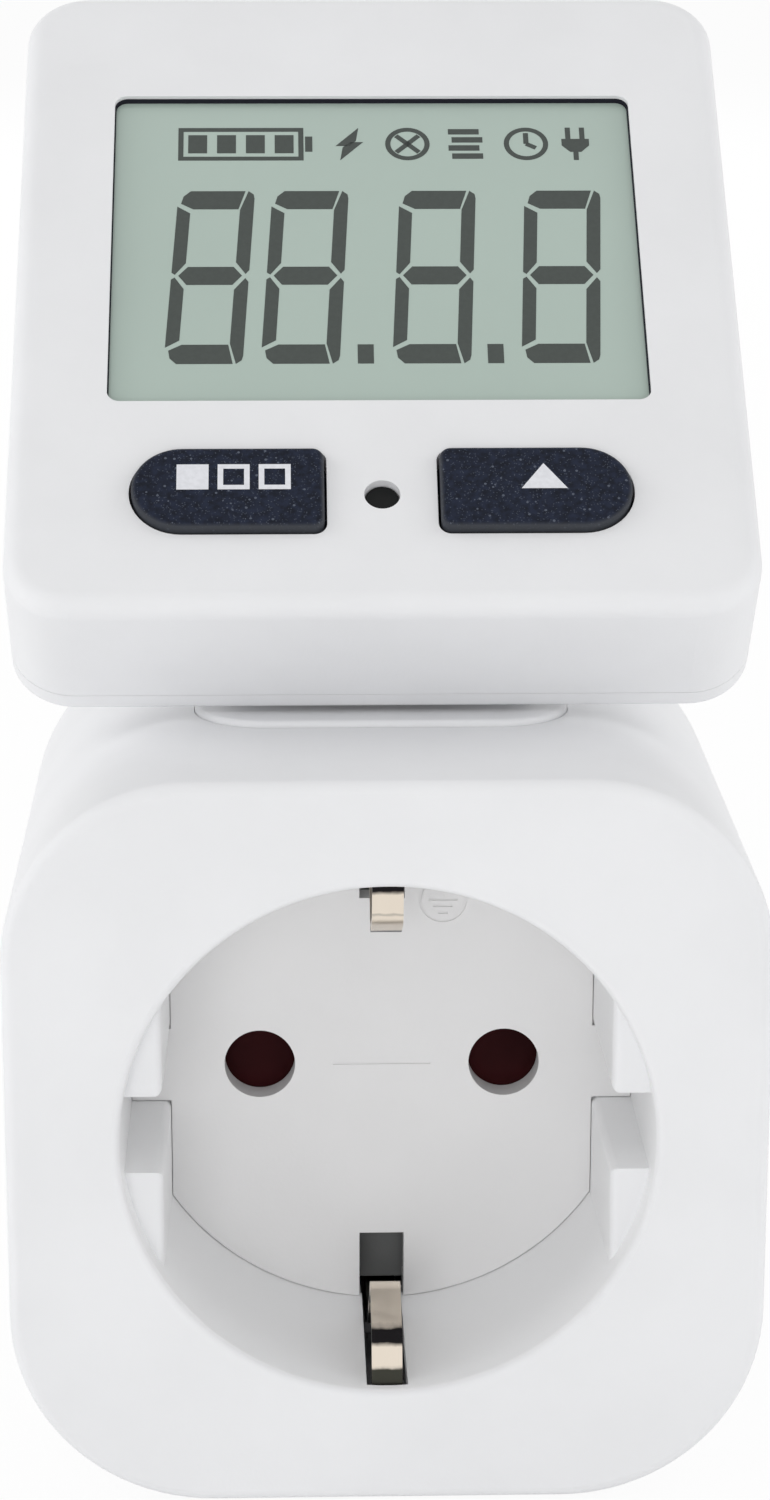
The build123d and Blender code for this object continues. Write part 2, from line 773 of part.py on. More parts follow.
def housing_screws():
    pieces = []
    for x, z in corner_places():
        tip = front_y + screw_tip_depth()
        long = screw(housing_screw_radius, housing_screw_length, housing_screw_head_radius,
                     housing_screw_head_height)
        pieces.append(Pos(x, tip, z) * Rot(-90, 0, 0) * long)
    return Compound(children=pieces)


def hinge_base():
    """Foot of the hinge: flange under the top wall, low pad through it, two cheeks."""
    middle = front_y + (hinge_pad_front + hinge_pad_rear) / 2
    pad = hinge_opening(0, pad_under - seat_gap, pad_top)
    pad = fillet(pad.faces().sort_by(Axis.Z)[-1].edges(), hinge_pad_proud * 4 / 5)
    length = hinge_pad_rear - hinge_pad_front + 2 * hinge_flange_width
    flange = Pos(0, middle, pad_under) * Box(hinge_pad_width + 2 * hinge_flange_width, length,
                                             hinge_flange_thickness, align=(Align.CENTER, Align.CENTER, Align.MAX))
    body = pad + flange
    for side in (-1, 1):
        x0, x1 = sorted((side * cheek_inner, side * cheek_outer))
        body += block(x0, x1, pad_top - hinge_pad_proud, hinge_height, hinge_depth - hinge_radius,
                      hinge_depth + hinge_radius)
        body += side_profile(Pos(hinge_depth, hinge_height) * Circle(hinge_radius), x0, x1)
        body -= side_profile(Pos(hinge_depth, hinge_height) * Circle(hinge_pin_radius), x0 - overrun, x1 + overrun)
    half = hinge_drum_half - hinge_drum_wall
    return body - block(-half, half, pad_under - 2 * hinge_flange_thickness, pad_top + overrun,
                        hinge_depth - hinge_radius / 2, hinge_depth + hinge_radius / 2)


def hinge_pins():
    """Headed pins pressed into the cheeks, on which the head's drum turns."""
    pieces = []
    for side in (-1, 1):
        inner = side * (hinge_drum_half - hinge_drum_wall + seat_gap)
        face = side * (cheek_outer + seat_gap)
        end = side * (cheek_outer + hinge_pin_head_height)
        centre = Pos(hinge_depth, hinge_height)
        pin = side_profile(centre * Circle(hinge_pin_radius), *sorted((inner, face)))
        pieces.append(pin + side_profile(centre * Circle(hinge_pin_head_radius), *sorted((face, end))))
    return Compound(children=pieces)


def friction_washers():
    """Washers between drum and cheeks that hold the head where it is put."""
    pieces = []
    centre = Pos(hinge_depth, hinge_height)
    ring = centre * (Circle(washer_radius) - Circle(hinge_pin_radius + running_gap))
    for side in (-1, 1):
        start = side * (cheek_inner - running_gap - washer_thickness)
        end = side * (cheek_inner - running_gap)
        pieces.append(side_profile(ring, *sorted((start, end))))
    return Compound(children=pieces)


def head_outline(inset):
    """Outline of the head in its own frame, drawn inside its edges by the inset."""
    outline = RectangleRounded(head_width - 2 * inset, head_height - 2 * inset, head_corner_radius - inset)
    return Pos(0, head_height / 2) * outline


def window_outline(grow):
    """Outline of the window, grown all round."""
    radius = window_corner_radius + grow / 4
    outline = RectangleRounded(window_width + 2 * grow, window_height + 2 * grow, radius)
    return Pos(0, window_middle) * outline


def button_outline(side, grow):
    """Key with a round outer end and a square inner end, grown all round."""
    radius = button_height / 2 + grow
    straight = button_length - button_height / 2 + grow
    inner = Rectangle(straight, 2 * radius, align=(Align.MIN, Align.CENTER))
    ends = inner.vertices().sort_by(Axis.X)[-2:]
    inner = fillet(ends, button_inner_radius + grow / 2)
    shape = inner + Circle(radius)
    start = -button_reach + button_height / 2
    outline = Pos(start, button_rise) * shape
    if side > 0:
        outline = mirror(outline, about=Plane.YZ)
    return outline


def head_bosses():
    """X and Y of the head's screw bosses, in its own frame."""
    return [(side * head_boss_x, y) for side in (-1, 1) for y in head_boss_rows]


def board_bosses():
    """X and Y of the display board's screws, in the head's frame."""
    x = head_boss_x - head_boss_radius - 2 * small_screw_head_radius - slide_gap
    low = button_rise - button_height / 2 - button_flange_width - small_screw_head_radius - slide_gap
    high = window_rise + window_height + glass_margin + frame_wall + small_screw_head_radius + slide_gap
    return [(side * x, y) for side in (-1, 1) for y in (low, high)]


def head_front_cover():
    """Front shell of the head with the window, key holes, reset hole and screw bosses."""
    shell = plate(head_outline(0), -head_shell_depth, 0)
    shell = fillet(shell.faces().sort_by(Axis.Z)[-1].edges(), head_edge_radius)
    shell -= plate(head_outline(head_wall), -head_shell_depth - overrun, -head_wall)
    for x, y in head_bosses():
        shell += head_rod(x, y, head_boss_radius, -head_shell_depth + lip_length, -head_wall / 2)
    for x, y in board_bosses():
        shell += head_rod(x, y, small_screw_head_radius, display_board_front + seat_gap, -head_wall / 2)
    shell -= plate(window_outline(0), -head_wall - overrun, overrun)
    pocket = Pos(0, window_middle) * Rectangle(glass_width + 2 * fit_gap, glass_height + 2 * fit_gap)
    shell -= plate(pocket, -head_wall - overrun, -window_lip)
    for side in (-1, 1):
        shell -= plate(button_outline(side, button_gap), -head_wall - overrun, overrun)
    shell -= head_rod(0, reset_rise, reset_hole_radius, -head_wall - overrun, overrun)
    for x, y in head_bosses():
        shell -= head_rod(x, y, small_screw_radius, -head_shell_depth, head_floor + small_screw_length)
    for x, y in board_bosses():
        shell -= head_rod(x, y, small_screw_radius, display_board_front - overrun, -head_wall)
    return shell


def head_rear_cover():
    """Rear plate of the head with its lip and the hollow hinge drum."""
    seam = -head_shell_depth - seat_gap
    shell = plate(head_outline(0), -head_thickness, seam)
    shell = fillet(shell.faces().sort_by(Axis.Z)[0].edges(), head_rear_edge_radius)
    inset = head_wall + fit_gap
    ring = plate(head_outline(inset), seam - running_gap, seam + lip_length)
    ring -= plate(head_outline(inset + lip_thickness), seam - overrun, seam + lip_length + overrun)
    shell += ring
    behind = -hinge_behind
    web = head_block(-hinge_drum_half, hinge_drum_half, hinge_rise - hinge_radius, hinge_rise + hinge_radius,
                     behind, -head_thickness + running_gap)
    shell += web + cross_rod(hinge_rise, behind, hinge_radius, -hinge_drum_half, hinge_drum_half)
    half = hinge_drum_half - hinge_drum_wall
    shell -= cross_rod(hinge_rise, behind, hinge_drum_bore, -half, half)
    shell -= cross_rod(hinge_rise, behind, hinge_pin_radius + running_gap, -hinge_drum_half - overrun,
                       hinge_drum_half + overrun)
    duct = hinge_drum_bore * 3 / 4
    shell -= head_block(-half, half, hinge_rise - duct, hinge_rise + duct, behind, seam + overrun)
    mouth = Plane(origin=(0, hinge_rise, behind), x_dir=(1, 0, 0), z_dir=(0, cos(lean), sin(lean)))
    cut = Box(2 * half, 2 * duct, 2 * hinge_radius, align=(Align.CENTER, Align.CENTER, Align.MAX))
    shell -= mouth.location * cut
    for x, y in head_bosses():
        shell -= head_rod(x, y, small_screw_radius + running_gap, -head_thickness - overrun, seam + overrun)
        shell -= head_rod(x, y, small_screw_head_radius + running_gap, -head_thickness - overrun,
                          head_screw_seat())
        shell -= head_rod(x, y, head_boss_radius + fit_gap, seam, seam + lip_length + overrun)
    return on_head(shell)


def head_screw_seat():
    """Level in the head's frame of the seat under its screws' heads."""
    return -head_thickness + small_screw_head_height * 2 / 3


def head_screws():
    pieces = []
    for x, y in head_bosses():
        tip = head_screw_seat() + small_screw_length - seat_gap
        pieces.append(on_head(Pos(x, y, tip) * Rot(180, 0, 0) * small_screw()))
    return Compound(children=pieces)


def lcd_glass():
    """Two panes of the display in one block, the rear one longer at its contact edges."""
    rear = Pos(0, window_middle) * Rectangle(glass_width, glass_height)
    front = Pos(0, window_middle) * Rectangle(glass_width, glass_height - 2 * elastomer_width / 2)
    middle = (glass_front + glass_back) / 2
    return on_head(plate(rear, glass_back, middle) + plate(front, middle, glass_front))


def lcd_reflector():
    outline = Pos(0, window_middle) * Rectangle(window_width, window_height - elastomer_width)
    return on_head(plate(outline, reflector_back, glass_back))


def elastomer_places():
    """Low and high edges of the two contact strips along the glass, in the head's frame."""
    low = window_middle - glass_height / 2
    high = window_middle + glass_height / 2
    return [(low, low + elastomer_width), (high - elastomer_width, high)]


def elastomer_strips():
    """Striped rubber strips that join glass and board."""
    pieces = []
    for low, high in elastomer_places():
        bar = head_block(-glass_width / 2 + elastomer_width, glass_width / 2 - elastomer_width, low, high,
                         display_board_front, glass_back)
        pieces.append(on_head(bar))
    return Compound(children=pieces)


def lcd_frame():
    """Frame that keeps glass and strips over the board."""
    outer = Pos(0, window_middle) * Rectangle(glass_width + 2 * frame_wall + 2 * fit_gap,
                                              glass_height + 2 * frame_wall + 2 * fit_gap)
    inner = Pos(0, window_middle) * Rectangle(glass_width + 2 * fit_gap, glass_height + 2 * fit_gap)
    body = plate(outer - inner, display_board_front, -head_wall - seat_gap)
    shelf = inner
    for low, high in elastomer_places():
        bar = Rectangle(glass_width - 2 * elastomer_width + 2 * fit_gap, high - low + 2 * fit_gap)
        shelf -= Pos(0, (low + high) / 2) * bar
    shelf -= Pos(0, window_middle) * Rectangle(window_width, window_height - 2 * elastomer_width)
    return on_head(body + plate(shelf, display_board_front, reflector_back))


def display_board():
    """Board behind the display with notches round the head's screw bosses."""
    inset = head_wall + display_board_margin
    board = head_outline(inset)
    for x, y in head_bosses():
        board -= Pos(x, y) * Circle(head_boss_radius + slide_gap)
        corner = Rectangle(2 * head_boss_inset, 2 * head_boss_inset)
        outward = 1 if x > 0 else -1
        upward = 1 if y > window_rise else -1
        board -= Pos(x + outward * head_boss_inset, y + upward * (head_boss_inset - head_boss_radius)) * corner
    for x, y in board_bosses():
        board -= Pos(x, y) * Circle(small_screw_radius + running_gap)
    return on_head(plate(board, display_board_back, display_board_front))


def display_board_screws():
    pieces = []
    length = display_board_gap - head_wall + display_board_thickness
    for x, y in board_bosses():
        short = screw(small_screw_radius, length, small_screw_head_radius, small_screw_head_height)
        pieces.append(on_head(Pos(x, y, display_board_back + length) * Rot(180, 0, 0) * short))
    return Compound(children=pieces)


def cell_place():
    """Centre of the backup cell in the head's frame."""
    return 0, head_height - head_wall - 2 * display_board_margin - cell_radius - lip_thickness


def backup_cell():
    x, y = cell_place()
    top = display_board_back - clip_sheet
    cell = head_rod(x, y, cell_radius, top - cell_thickness, top)
    return on_head(fillet(cell.edges().filter_by(GeomType.CIRCLE), cell_thickness / 8))


def cell_clip():
    """Sheet bridge that grips the cell and is soldered to the board."""
    x, y = cell_place()
    half = cell_radius + clip_sheet + running_gap
    low = display_board_back - clip_sheet - cell_thickness - clip_sheet - running_gap
    width = cell_radius / 2
    body = head_block(x - half, x + half, y - width, y + width, low, display_board_back)
    gap = cell_radius + running_gap
    body -= head_block(x - gap, x + gap, y - width - overrun, y + width + overrun, low + clip_sheet,
                       display_board_back + overrun)
    foot = head_block(x - half, x + half, y - clip_sheet, y + clip_sheet, display_board_back - clip_sheet,
                      display_board_back)
    return on_head(body + foot)


def controller_chip():
    x = -head_width / 4
    y = window_rise
    half = controller_size / 2
    chip = head_block(x - half, x + half, y - half, y + half, display_board_back - controller_height,
                      display_board_back)
    return on_head(chip)


def crystal():
    """Small can beside the controller."""
    x = -head_width / 4 + controller_size / 2 + crystal_radius + slide_gap
    can = cross_rod(0, 0, crystal_radius, 0, crystal_length)
    can = Pos(x, window_rise, display_board_back - crystal_radius) * Rot(0, 0, 90) * can
    return on_head(fillet(can.edges().filter_by(GeomType.CIRCLE), crystal_radius / 4))


def display_header_place():
    """Low and high ends on the face's rise of the header on the display board."""
    low = hinge_rise + hinge_drum_bore + lead_thickness
    return low, low + header_width


def display_header():
    low, high = display_header_place()
    body = head_block(lead_x - header_length / 2, lead_x + header_length / 2, low, high,
                      display_board_back - header_height + lead_thickness, display_board_back)
    return on_head(body)


def button(side):
    """Rubber key: crowned cap through the face, flange behind it and a stem."""
    cap = plate(button_outline(side, 0), -head_wall - slide_gap - button_flange_thickness / 2, button_proud)
    cap = fillet(cap.faces().sort_by(Axis.Z)[-1].edges(), button_crown_radius)
    top = -head_wall - slide_gap
    flange = plate(button_outline(side, button_flange_width), top - button_flange_thickness, top)
    x = side * key_centre_x
    stem_end = display_board_front + button_travel + slide_gap
    stem = head_rod(x, button_rise, button_stem_radius, stem_end, top - button_flange_thickness / 2)
    return on_head(cap + flange + stem)


def key_dome(side):
    """Rubber collar that carries a key on the board and springs it back."""
    x = side * key_centre_x
    outer = button_stem_radius + slide_gap + dome_wall
    top = -head_wall - slide_gap - button_flange_thickness
    collar = head_rod(x, button_rise, outer, display_board_front, top)
    bore = head_rod(x, button_rise, outer - dome_wall, display_board_front - overrun, top + overrun)
    return on_head(collar - bore)


def reset_switch():
    """Body of the reset switch on the board, open at the top for its plunger."""
    half = reset_body_width / 2
    top = display_board_front + reset_body_height
    body = head_block(-half, half, reset_rise - half, reset_rise + half, display_board_front, top)
    well = head_rod(0, reset_rise, reset_plunger_radius + running_gap, top - reset_plunger_depth(), top + overrun)
    return on_head(body - well)


def reset_plunger_depth():
    """Depth of the plunger's well in the reset switch, with its travel."""
    return reset_travel + reset_body_height / 2


def reset_plunger():
    top = display_board_front + reset_body_height
    low = top - reset_body_height / 2 + running_gap
    return on_head(head_rod(0, reset_rise, reset_plunger_radius, low, top + reset_plunger_height))


def display_lead_lower():
    """Flat lead from the main board's header up to the hinge foot."""
    start = board_height / 2 + lead_thickness / 2 + seat_gap
    depth = board_depth - header_height / 2
    turn = (start + pad_under) / 2
    end = pad_top - lead_thickness / 2
    points = [(depth, start), (depth, turn), (hinge_depth, turn + header_width), (hinge_depth, end)]
    return strip(points, header_width / 3, lead_thickness, lead_x - lead_width / 2, lead_x + lead_width / 2)


def display_lead_hinge():
    """Short stretch of the lead inside the drum, which bends as the head tilts."""
    start = pad_top + lead_thickness / 2 + seat_gap
    end_y = hinge_depth - (hinge_radius + lead_thickness) * cos(lean) / 2
    end_z = hinge_height + (hinge_radius + lead_thickness) * sin(lean) / 2
    points = [(hinge_depth, start), (hinge_depth, hinge_height), (end_y, end_z)]
    return strip(points, lead_thickness, lead_thickness, lead_x - lead_width / 2, lead_x + lead_width / 2)


def display_lead_upper():
    """Stretch of the lead inside the head, from the drum to the display board's header."""
    low, high = display_header_place()
    level = display_board_back - header_height / 2
    x0, x1 = lead_x - lead_width / 2, lead_x + lead_width / 2
    start = -hinge_behind + (hinge_radius + lead_thickness) / 2 + lead_thickness
    end = low - lead_thickness / 2 - seat_gap
    line = FilletPolyline((hinge_rise, start), (hinge_rise, level), (end, level), radius=lead_thickness)
    outline = make_face(offset(line, amount=lead_thickness / 2, side=Side.BOTH).edges())
    face = Plane(origin=(x0, 0, 0), x_dir=(0, 1, 0), z_dir=(1, 0, 0)) * outline
    return on_head(extrude(face, amount=x1 - x0, dir=(1, 0, 0)))


def nodes():
    """Every piece of the object under its own name."""
    return {
        "front_cover": front_cover(),
        "rear_cover": rear_cover(),
        "plug_body": plug_body(),
        "socket_floor": socket_floor(),
        "shutter": shutter(),
        "shutter_spring": shutter_spring(),
        "contact_carrier": contact_carrier(),
        "contact_sleeve_left": contact_sleeve(-1),
        "contact_sleeve_right": contact_sleeve(1),
        "earth_strap": earth_strap(),
        "carrier_screws": carrier_screws(),
        "main_board": main_board(),
        "board_screws": board_screws(),
        "filter_capacitor": filter_capacitor(),
        "supply_capacitor": supply_capacitor(),
        "varistor": varistor(),
        "fuse": fuse(),
        "shunt": shunt(),
        "metering_chip": metering_chip(),
        "main_header": main_header(),
        "plug_pin_left": plug_pin(-1),
        "plug_pin_right": plug_pin(1),
        "pin_clamp": pin_clamp(),
        "plug_earth_contacts": plug_earth_contacts(),
        "housing_screws": housing_screws(),
        "hinge_base": hinge_base(),
        "hinge_pins": hinge_pins(),
        "friction_washers": friction_washers(),
        "head_front_cover": on_head(head_front_cover()),
        "head_rear_cover": head_rear_cover(),
        "head_screws": head_screws(),
        "lcd_glass": lcd_glass(),
        "lcd_reflector": lcd_reflector(),
        "elastomer_strips": elastomer_strips(),
        "lcd_frame": lcd_frame(),
        "display_board": display_board(),
        "display_board_screws": display_board_screws(),
        "backup_cell": backup_cell(),
        "cell_clip": cell_clip(),
        "controller_chip": controller_chip(),
        "crystal": crystal(),
        "display_header": display_header(),
        "mode_button": button(-1),
        "up_button": button(1),
        "mode_dome": key_dome(-1),
        "up_dome": key_dome(1),
        "reset_switch": reset_switch(),
        "reset_plunger": reset_plunger(),
        "display_lead_lower": display_lead_lower(),
        "display_lead_hinge": display_lead_hinge(),
        "display_lead_upper": display_lead_upper(),
    }


os.makedirs("parts", exist_ok=True)
for name, piece in nodes().items():
    export_step(piece, f"parts/{name}.step")
print("hinge axis: depth", round(hinge_depth, 3), "height", round(hinge_height, 3))
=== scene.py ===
"""Dresses the CAD frame of a plug-through energy meter and sets its light and camera.

Lengths are in metres. Sizes of the recess, the clips, the display and the keys are written in
millimetres and multiplied by MM.
"""

import json
import logging
from dataclasses import dataclass
from enum import Enum
from functools import lru_cache
from math import cos, pi, radians, sin
from typing import Callable, Dict, List, Mapping, Optional, Sequence, Tuple, Union

import bmesh
import bpy
from mathutils import Matrix, Vector


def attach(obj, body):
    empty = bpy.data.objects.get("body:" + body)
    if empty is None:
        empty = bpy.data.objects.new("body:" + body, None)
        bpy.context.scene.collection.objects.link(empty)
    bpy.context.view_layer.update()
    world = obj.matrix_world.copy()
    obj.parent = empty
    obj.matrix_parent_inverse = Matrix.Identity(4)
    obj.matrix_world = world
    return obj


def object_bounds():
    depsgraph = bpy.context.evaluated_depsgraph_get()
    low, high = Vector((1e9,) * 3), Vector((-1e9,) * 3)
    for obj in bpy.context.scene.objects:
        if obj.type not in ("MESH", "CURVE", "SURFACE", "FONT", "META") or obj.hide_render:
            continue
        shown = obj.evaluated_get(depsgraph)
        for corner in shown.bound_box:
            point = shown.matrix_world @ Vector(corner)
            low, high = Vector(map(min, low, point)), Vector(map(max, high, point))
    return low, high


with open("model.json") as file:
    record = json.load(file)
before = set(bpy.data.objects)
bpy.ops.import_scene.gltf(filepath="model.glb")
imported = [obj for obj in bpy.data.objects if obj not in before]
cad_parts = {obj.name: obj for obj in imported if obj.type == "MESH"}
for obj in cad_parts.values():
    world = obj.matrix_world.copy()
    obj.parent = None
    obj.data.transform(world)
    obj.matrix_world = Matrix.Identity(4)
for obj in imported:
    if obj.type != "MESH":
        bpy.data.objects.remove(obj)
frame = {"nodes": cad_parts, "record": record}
CAD_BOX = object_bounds()

LOG = logging.getLogger("energy_meter")
MM = 0.001
WHITE = (1.0, 1.0, 1.0, 1.0)

Colour = Tuple[float, float, float]
Place = Tuple[float, float, float]
Point = Tuple[float, float]
Outline = Tuple[Point, ...]
Range = Tuple[float, float]
Socket = bpy.types.NodeSocket
Sockets = bpy.types.bpy_prop_collection
Tree = bpy.types.NodeTree
Value = Union[float, Sequence[float], Socket]
Inputs = Mapping[Union[str, int], Value]


class Body(Enum):
    """Bodies of the frame that the new pieces ride on."""

    HEAD = "head"
    MODE_KEY = "mode_key"
    UP_KEY = "up_key"


class Ray(Enum):
    """Kinds of ray that see the plain white surroundings."""

    CAMERA = "Is Camera Ray"
    GLOSSY = "Is Glossy Ray"
    TRANSMISSION = "Is Transmission Ray"


class Kind(Enum):
    """Types of socket that the shared effects have."""

    NUMBER = "NodeSocketFloat"
    COLOUR = "NodeSocketColor"
    VECTOR = "NodeSocketVector"


def tinted(colour: Colour, factor: float = 1.0) -> Tuple[float, float, float, float]:
    """Returns a colour made lighter or darker, with full alpha."""
    return (colour[0] * factor, colour[1] * factor, colour[2] * factor, 1.0)


class Graph:
    """Adds and joins the nodes of one shader tree."""

    def __init__(self, tree: Tree) -> None:
        """Keeps the tree that the nodes go into.

        Args:
            tree: The node tree of a material, a world or a group.
        """
        self.tree = tree

    def add(self, kind: str, inputs: Optional[Inputs] = None,
            **settings: object) -> bpy.types.Node:
        """Adds a node, sets its properties and fills its inputs.

        Args:
            kind: Blender's name for the node.
            inputs: A value or a socket for each input, by its name or number.
            settings: Properties to set on the node.

        Returns:
            The new node.
        """
        node = self.tree.nodes.new(kind)
        for name, setting in settings.items():
            setattr(node, name, setting)
        self.fill(node, inputs or {})
        return node

    def fill(self, node: bpy.types.Node, inputs: Inputs) -> None:
        """Sets the inputs of a node, or links a socket to them.

        Args:
            node: The node.
            inputs: A value or a socket for each input, by its name or number.
        """
        for key, value in inputs.items():
            if isinstance(value, Socket):
                self.tree.links.new(value, node.inputs[key])
            else:
                node.inputs[key].default_value = value

    def math(self, operation: str, first: Value, second: Value) -> Socket:
        """Returns the socket of one operation on two values."""
        node = self.add("ShaderNodeMath", {0: first, 1: second}, operation=operation)
        return node.outputs["Value"]

    def mix(self, factor: Value, start: Value, end: Value) -> Socket:
        """Returns the socket of a blend from one colour to another."""
        inputs = {"Factor": factor, "A": start, "B": end}
        return self.add("ShaderNodeMix", inputs, data_type="RGBA").outputs["Result"]

    def spread(self, value: Socket, source: Range = (0.0, 1.0),
               target: Range = (0.0, 1.0)) -> Socket:
        """Carries a value from one range over to another.

        Args:
            value: Socket of the value.
            source: The two ends of the range that the value has.
            target: What the result is at those ends.

        Returns:
            The socket of the result.
        """
        node = self.add("ShaderNodeMapRange", {
            "Value": value, "From Min": source[0], "From Max": source[1],
            "To Min": target[0], "To Max": target[1]})
        return node.outputs["Result"]


class Effect:
    """A shader node group that several finishes share, built when one first needs it."""

    def __init__(self, name: str, outputs: Mapping[str, Kind], **inputs: Kind) -> None:
        """Starts an empty group that takes a place and a scale.

        Args:
            name: Plain name of the effect.
            outputs: Socket type of each output by its name.
            inputs: Socket type of each further input by its name.
        """
        inputs = {"Vector": Kind.VECTOR, "Scale": Kind.NUMBER, **inputs}
        self.group = bpy.data.node_groups.new(name, "ShaderNodeTree")
        for way, sockets in (("INPUT", inputs), ("OUTPUT", outputs)):
            for label, kind in sockets.items():
                self.group.interface.new_socket(name=label, in_out=way, socket_type=kind.value)
        self.graph = Graph(self.group)
        self.source = self.graph.add("NodeGroupInput").outputs

    def texture(self, kind: str, inputs: Inputs, **settings: object) -> bpy.types.Node:
        """Adds a texture at the place and the scale of the effect, where inputs give no other."""
        field = {"Vector": self.source["Vector"], "Scale": self.source["Scale"]}
        return self.graph.add(kind, {**field, **inputs}, **settings)

    def finish(self, **results: Socket) -> Tree:
        """Links the results to the outputs of the group and returns it."""
        self.graph.add("NodeGroupOutput", results)
        return self.group


@lru_cache(maxsize=None)
def spark_grain() -> Tree:
    """Builds the fine grain that a spark-eroded mould leaves on plastic.

    Returns:
        A group that puts out a height from 0 to 1.
    """
    octaves, rawness, pit_share = 5.0, 0.62, 0.35
    effect = Effect("spark_grain", {"Height": Kind.NUMBER})
    coarse = effect.texture("ShaderNodeTexNoise", {"Detail": octaves, "Roughness": rawness})
    pits = effect.texture("ShaderNodeTexVoronoi", {}, feature="SMOOTH_F1")
    mix = effect.graph.add("ShaderNodeMix", {
        "Factor": pit_share, "A": coarse.outputs["Fac"], "B": pits.outputs["Distance"]},
        data_type="FLOAT")
    return effect.finish(Height=mix.outputs["Result"])


@lru_cache(maxsize=None)
def flow_mottle() -> Tree:
    """Builds the faint clouding of colour in moulded plastic.

    Returns:
        A group that puts out the colour and a slow value from 0 to 1.
    """
    octaves, cloud_range = 3.0, (0.35, 0.65)
    effect = Effect("flow_mottle", {"Color": Kind.COLOUR, "Value": Kind.NUMBER},
                    Light=Kind.COLOUR, Dark=Kind.COLOUR)
    cloud = effect.texture("ShaderNodeTexNoise", {"Detail": octaves})
    share = effect.graph.spread(cloud.outputs["Fac"], cloud_range)
    colour = effect.graph.mix(share, effect.source["Dark"], effect.source["Light"])
    return effect.finish(Color=colour, Value=share)


@lru_cache(maxsize=None)
def fleck() -> Tree:
    """Builds scattered flecks, as in filled rubber.

    Returns:
        A group that puts out a mask, 1 on a fleck.
    """
    radius = 0.33
    effect = Effect("fleck", {"Mask": Kind.NUMBER}, Spread=Kind.NUMBER)
    graph = effect.graph
    cells = effect.texture("ShaderNodeTexVoronoi", {}, feature="F1")
    chance = graph.add("ShaderNodeTexWhiteNoise", {"Vector": cells.outputs["Position"]},
                       noise_dimensions="3D")
    small = graph.math("LESS_THAN", cells.outputs["Distance"], radius)
    rare = graph.math("LESS_THAN", chance.outputs["Value"], effect.source["Spread"])
    return effect.finish(Mask=graph.math("MULTIPLY", small, rare))


@lru_cache(maxsize=None)
def drawn_lines() -> Tree:
    """Builds the fine lines that rolling or drawing leaves on metal.

    Returns:
        A group that puts out a height and a slow value, both from 0 to 1.
    """
    along_share, slow_share, line_octaves, cloud_octaves = 0.06, 0.08, 4.0, 2.0
    effect = Effect("drawn_lines", {"Height": Kind.NUMBER, "Value": Kind.NUMBER})
    stretch = effect.graph.add("ShaderNodeVectorMath", {
        0: effect.source["Vector"], 1: (1.0, along_share, along_share)}, operation="MULTIPLY")
    slow = effect.graph.math("MULTIPLY", effect.source["Scale"], slow_share)
    lines = effect.texture("ShaderNodeTexNoise", {
        "Vector": stretch.outputs["Vector"], "Detail": line_octaves})
    cloud = effect.texture("ShaderNodeTexNoise", {"Scale": slow, "Detail": cloud_octaves})
    return effect.finish(Height=lines.outputs["Fac"], Value=cloud.outputs["Fac"])


class Surface:
    """A material under construction, with its shader and its Object coordinates."""

    def __init__(self, name: str) -> None:
        """Starts the material.

        Args:
            name: Name of the material.
        """
        self.material = bpy.data.materials.new(name)
        self.material.use_nodes = True
        self.graph = Graph(self.material.node_tree)
        self.shader = self.material.node_tree.nodes["Principled BSDF"]
        coordinates = self.graph.add("ShaderNodeTexCoord")
        self.place = coordinates.outputs["Object"]
        self.normal = coordinates.outputs["Normal"]

    def effect(self, build: Callable[[], Tree], **values: Value) -> Sockets:
        """Places a shared effect on the Object coordinates.

        Args:
            build: The function that builds the effect.
            values: The other inputs of the effect.

        Returns:
            The outputs of the effect.
        """
        inputs = {"Vector": self.place, **values}
        return self.graph.add("ShaderNodeGroup", inputs, node_tree=build()).outputs

    def cloud(self, scale: float, colour: Colour, dark: float, light: float = 1.0) -> Sockets:
        """Clouds a colour between two factors of it and returns the outputs of the effect."""
        return self.effect(flow_mottle, Scale=scale, Light=tinted(colour, light),
                           Dark=tinted(colour, dark))

    def grain(self, scale: float) -> Socket:
        """Returns the socket of the height of a mould's grain."""
        return self.effect(spark_grain, Scale=scale)["Height"]

    def set(self, **values: Value) -> None:
        """Fills inputs of the shader, with an underscore for each space in a name."""
        self.graph.fill(self.shader, {name.replace("_", " "): value
                                      for name, value in values.items()})

    def tint(self, share: Value, colour: Colour, factor: float = 1.0) -> None:
        """Lays another colour over the one so far, by a share."""
        below = self.shader.inputs["Base Color"].links[0].from_socket
        self.set(Base_Color=self.graph.mix(share, below, tinted(colour, factor)))

    def roughen(self, value: Socket, low: float, high: float) -> None:
        """Lets the roughness go from low to high as a value goes from 0 to 1."""
        self.set(Roughness=self.graph.spread(value, target=(low, high)))

    def roughen_about(self, value: Socket, middle: float, spread: float) -> None:
        """Lets the roughness go a spread to both sides of the middle."""
        self.roughen(value, middle - spread, middle + spread)

    def bump(self, height: Socket, depth: float) -> None:
        """Raises the surface by a height map.

        Args:
            height: Socket of the height, from 0 to 1.
            depth: Real depth at a height of 1, in metres.
        """
        node = self.graph.add("ShaderNodeBump", {
            "Height": height, "Distance": depth, "Strength": 1.0})
        self.set(Normal=node.outputs["Normal"])


class Finish:
    """A finish that can be made into a material."""

    def surface(self) -> Surface:
        """Builds the finish."""
        raise NotImplementedError

    def material(self) -> bpy.types.Material:
        """Returns the finish as a material."""
        return self.surface().material


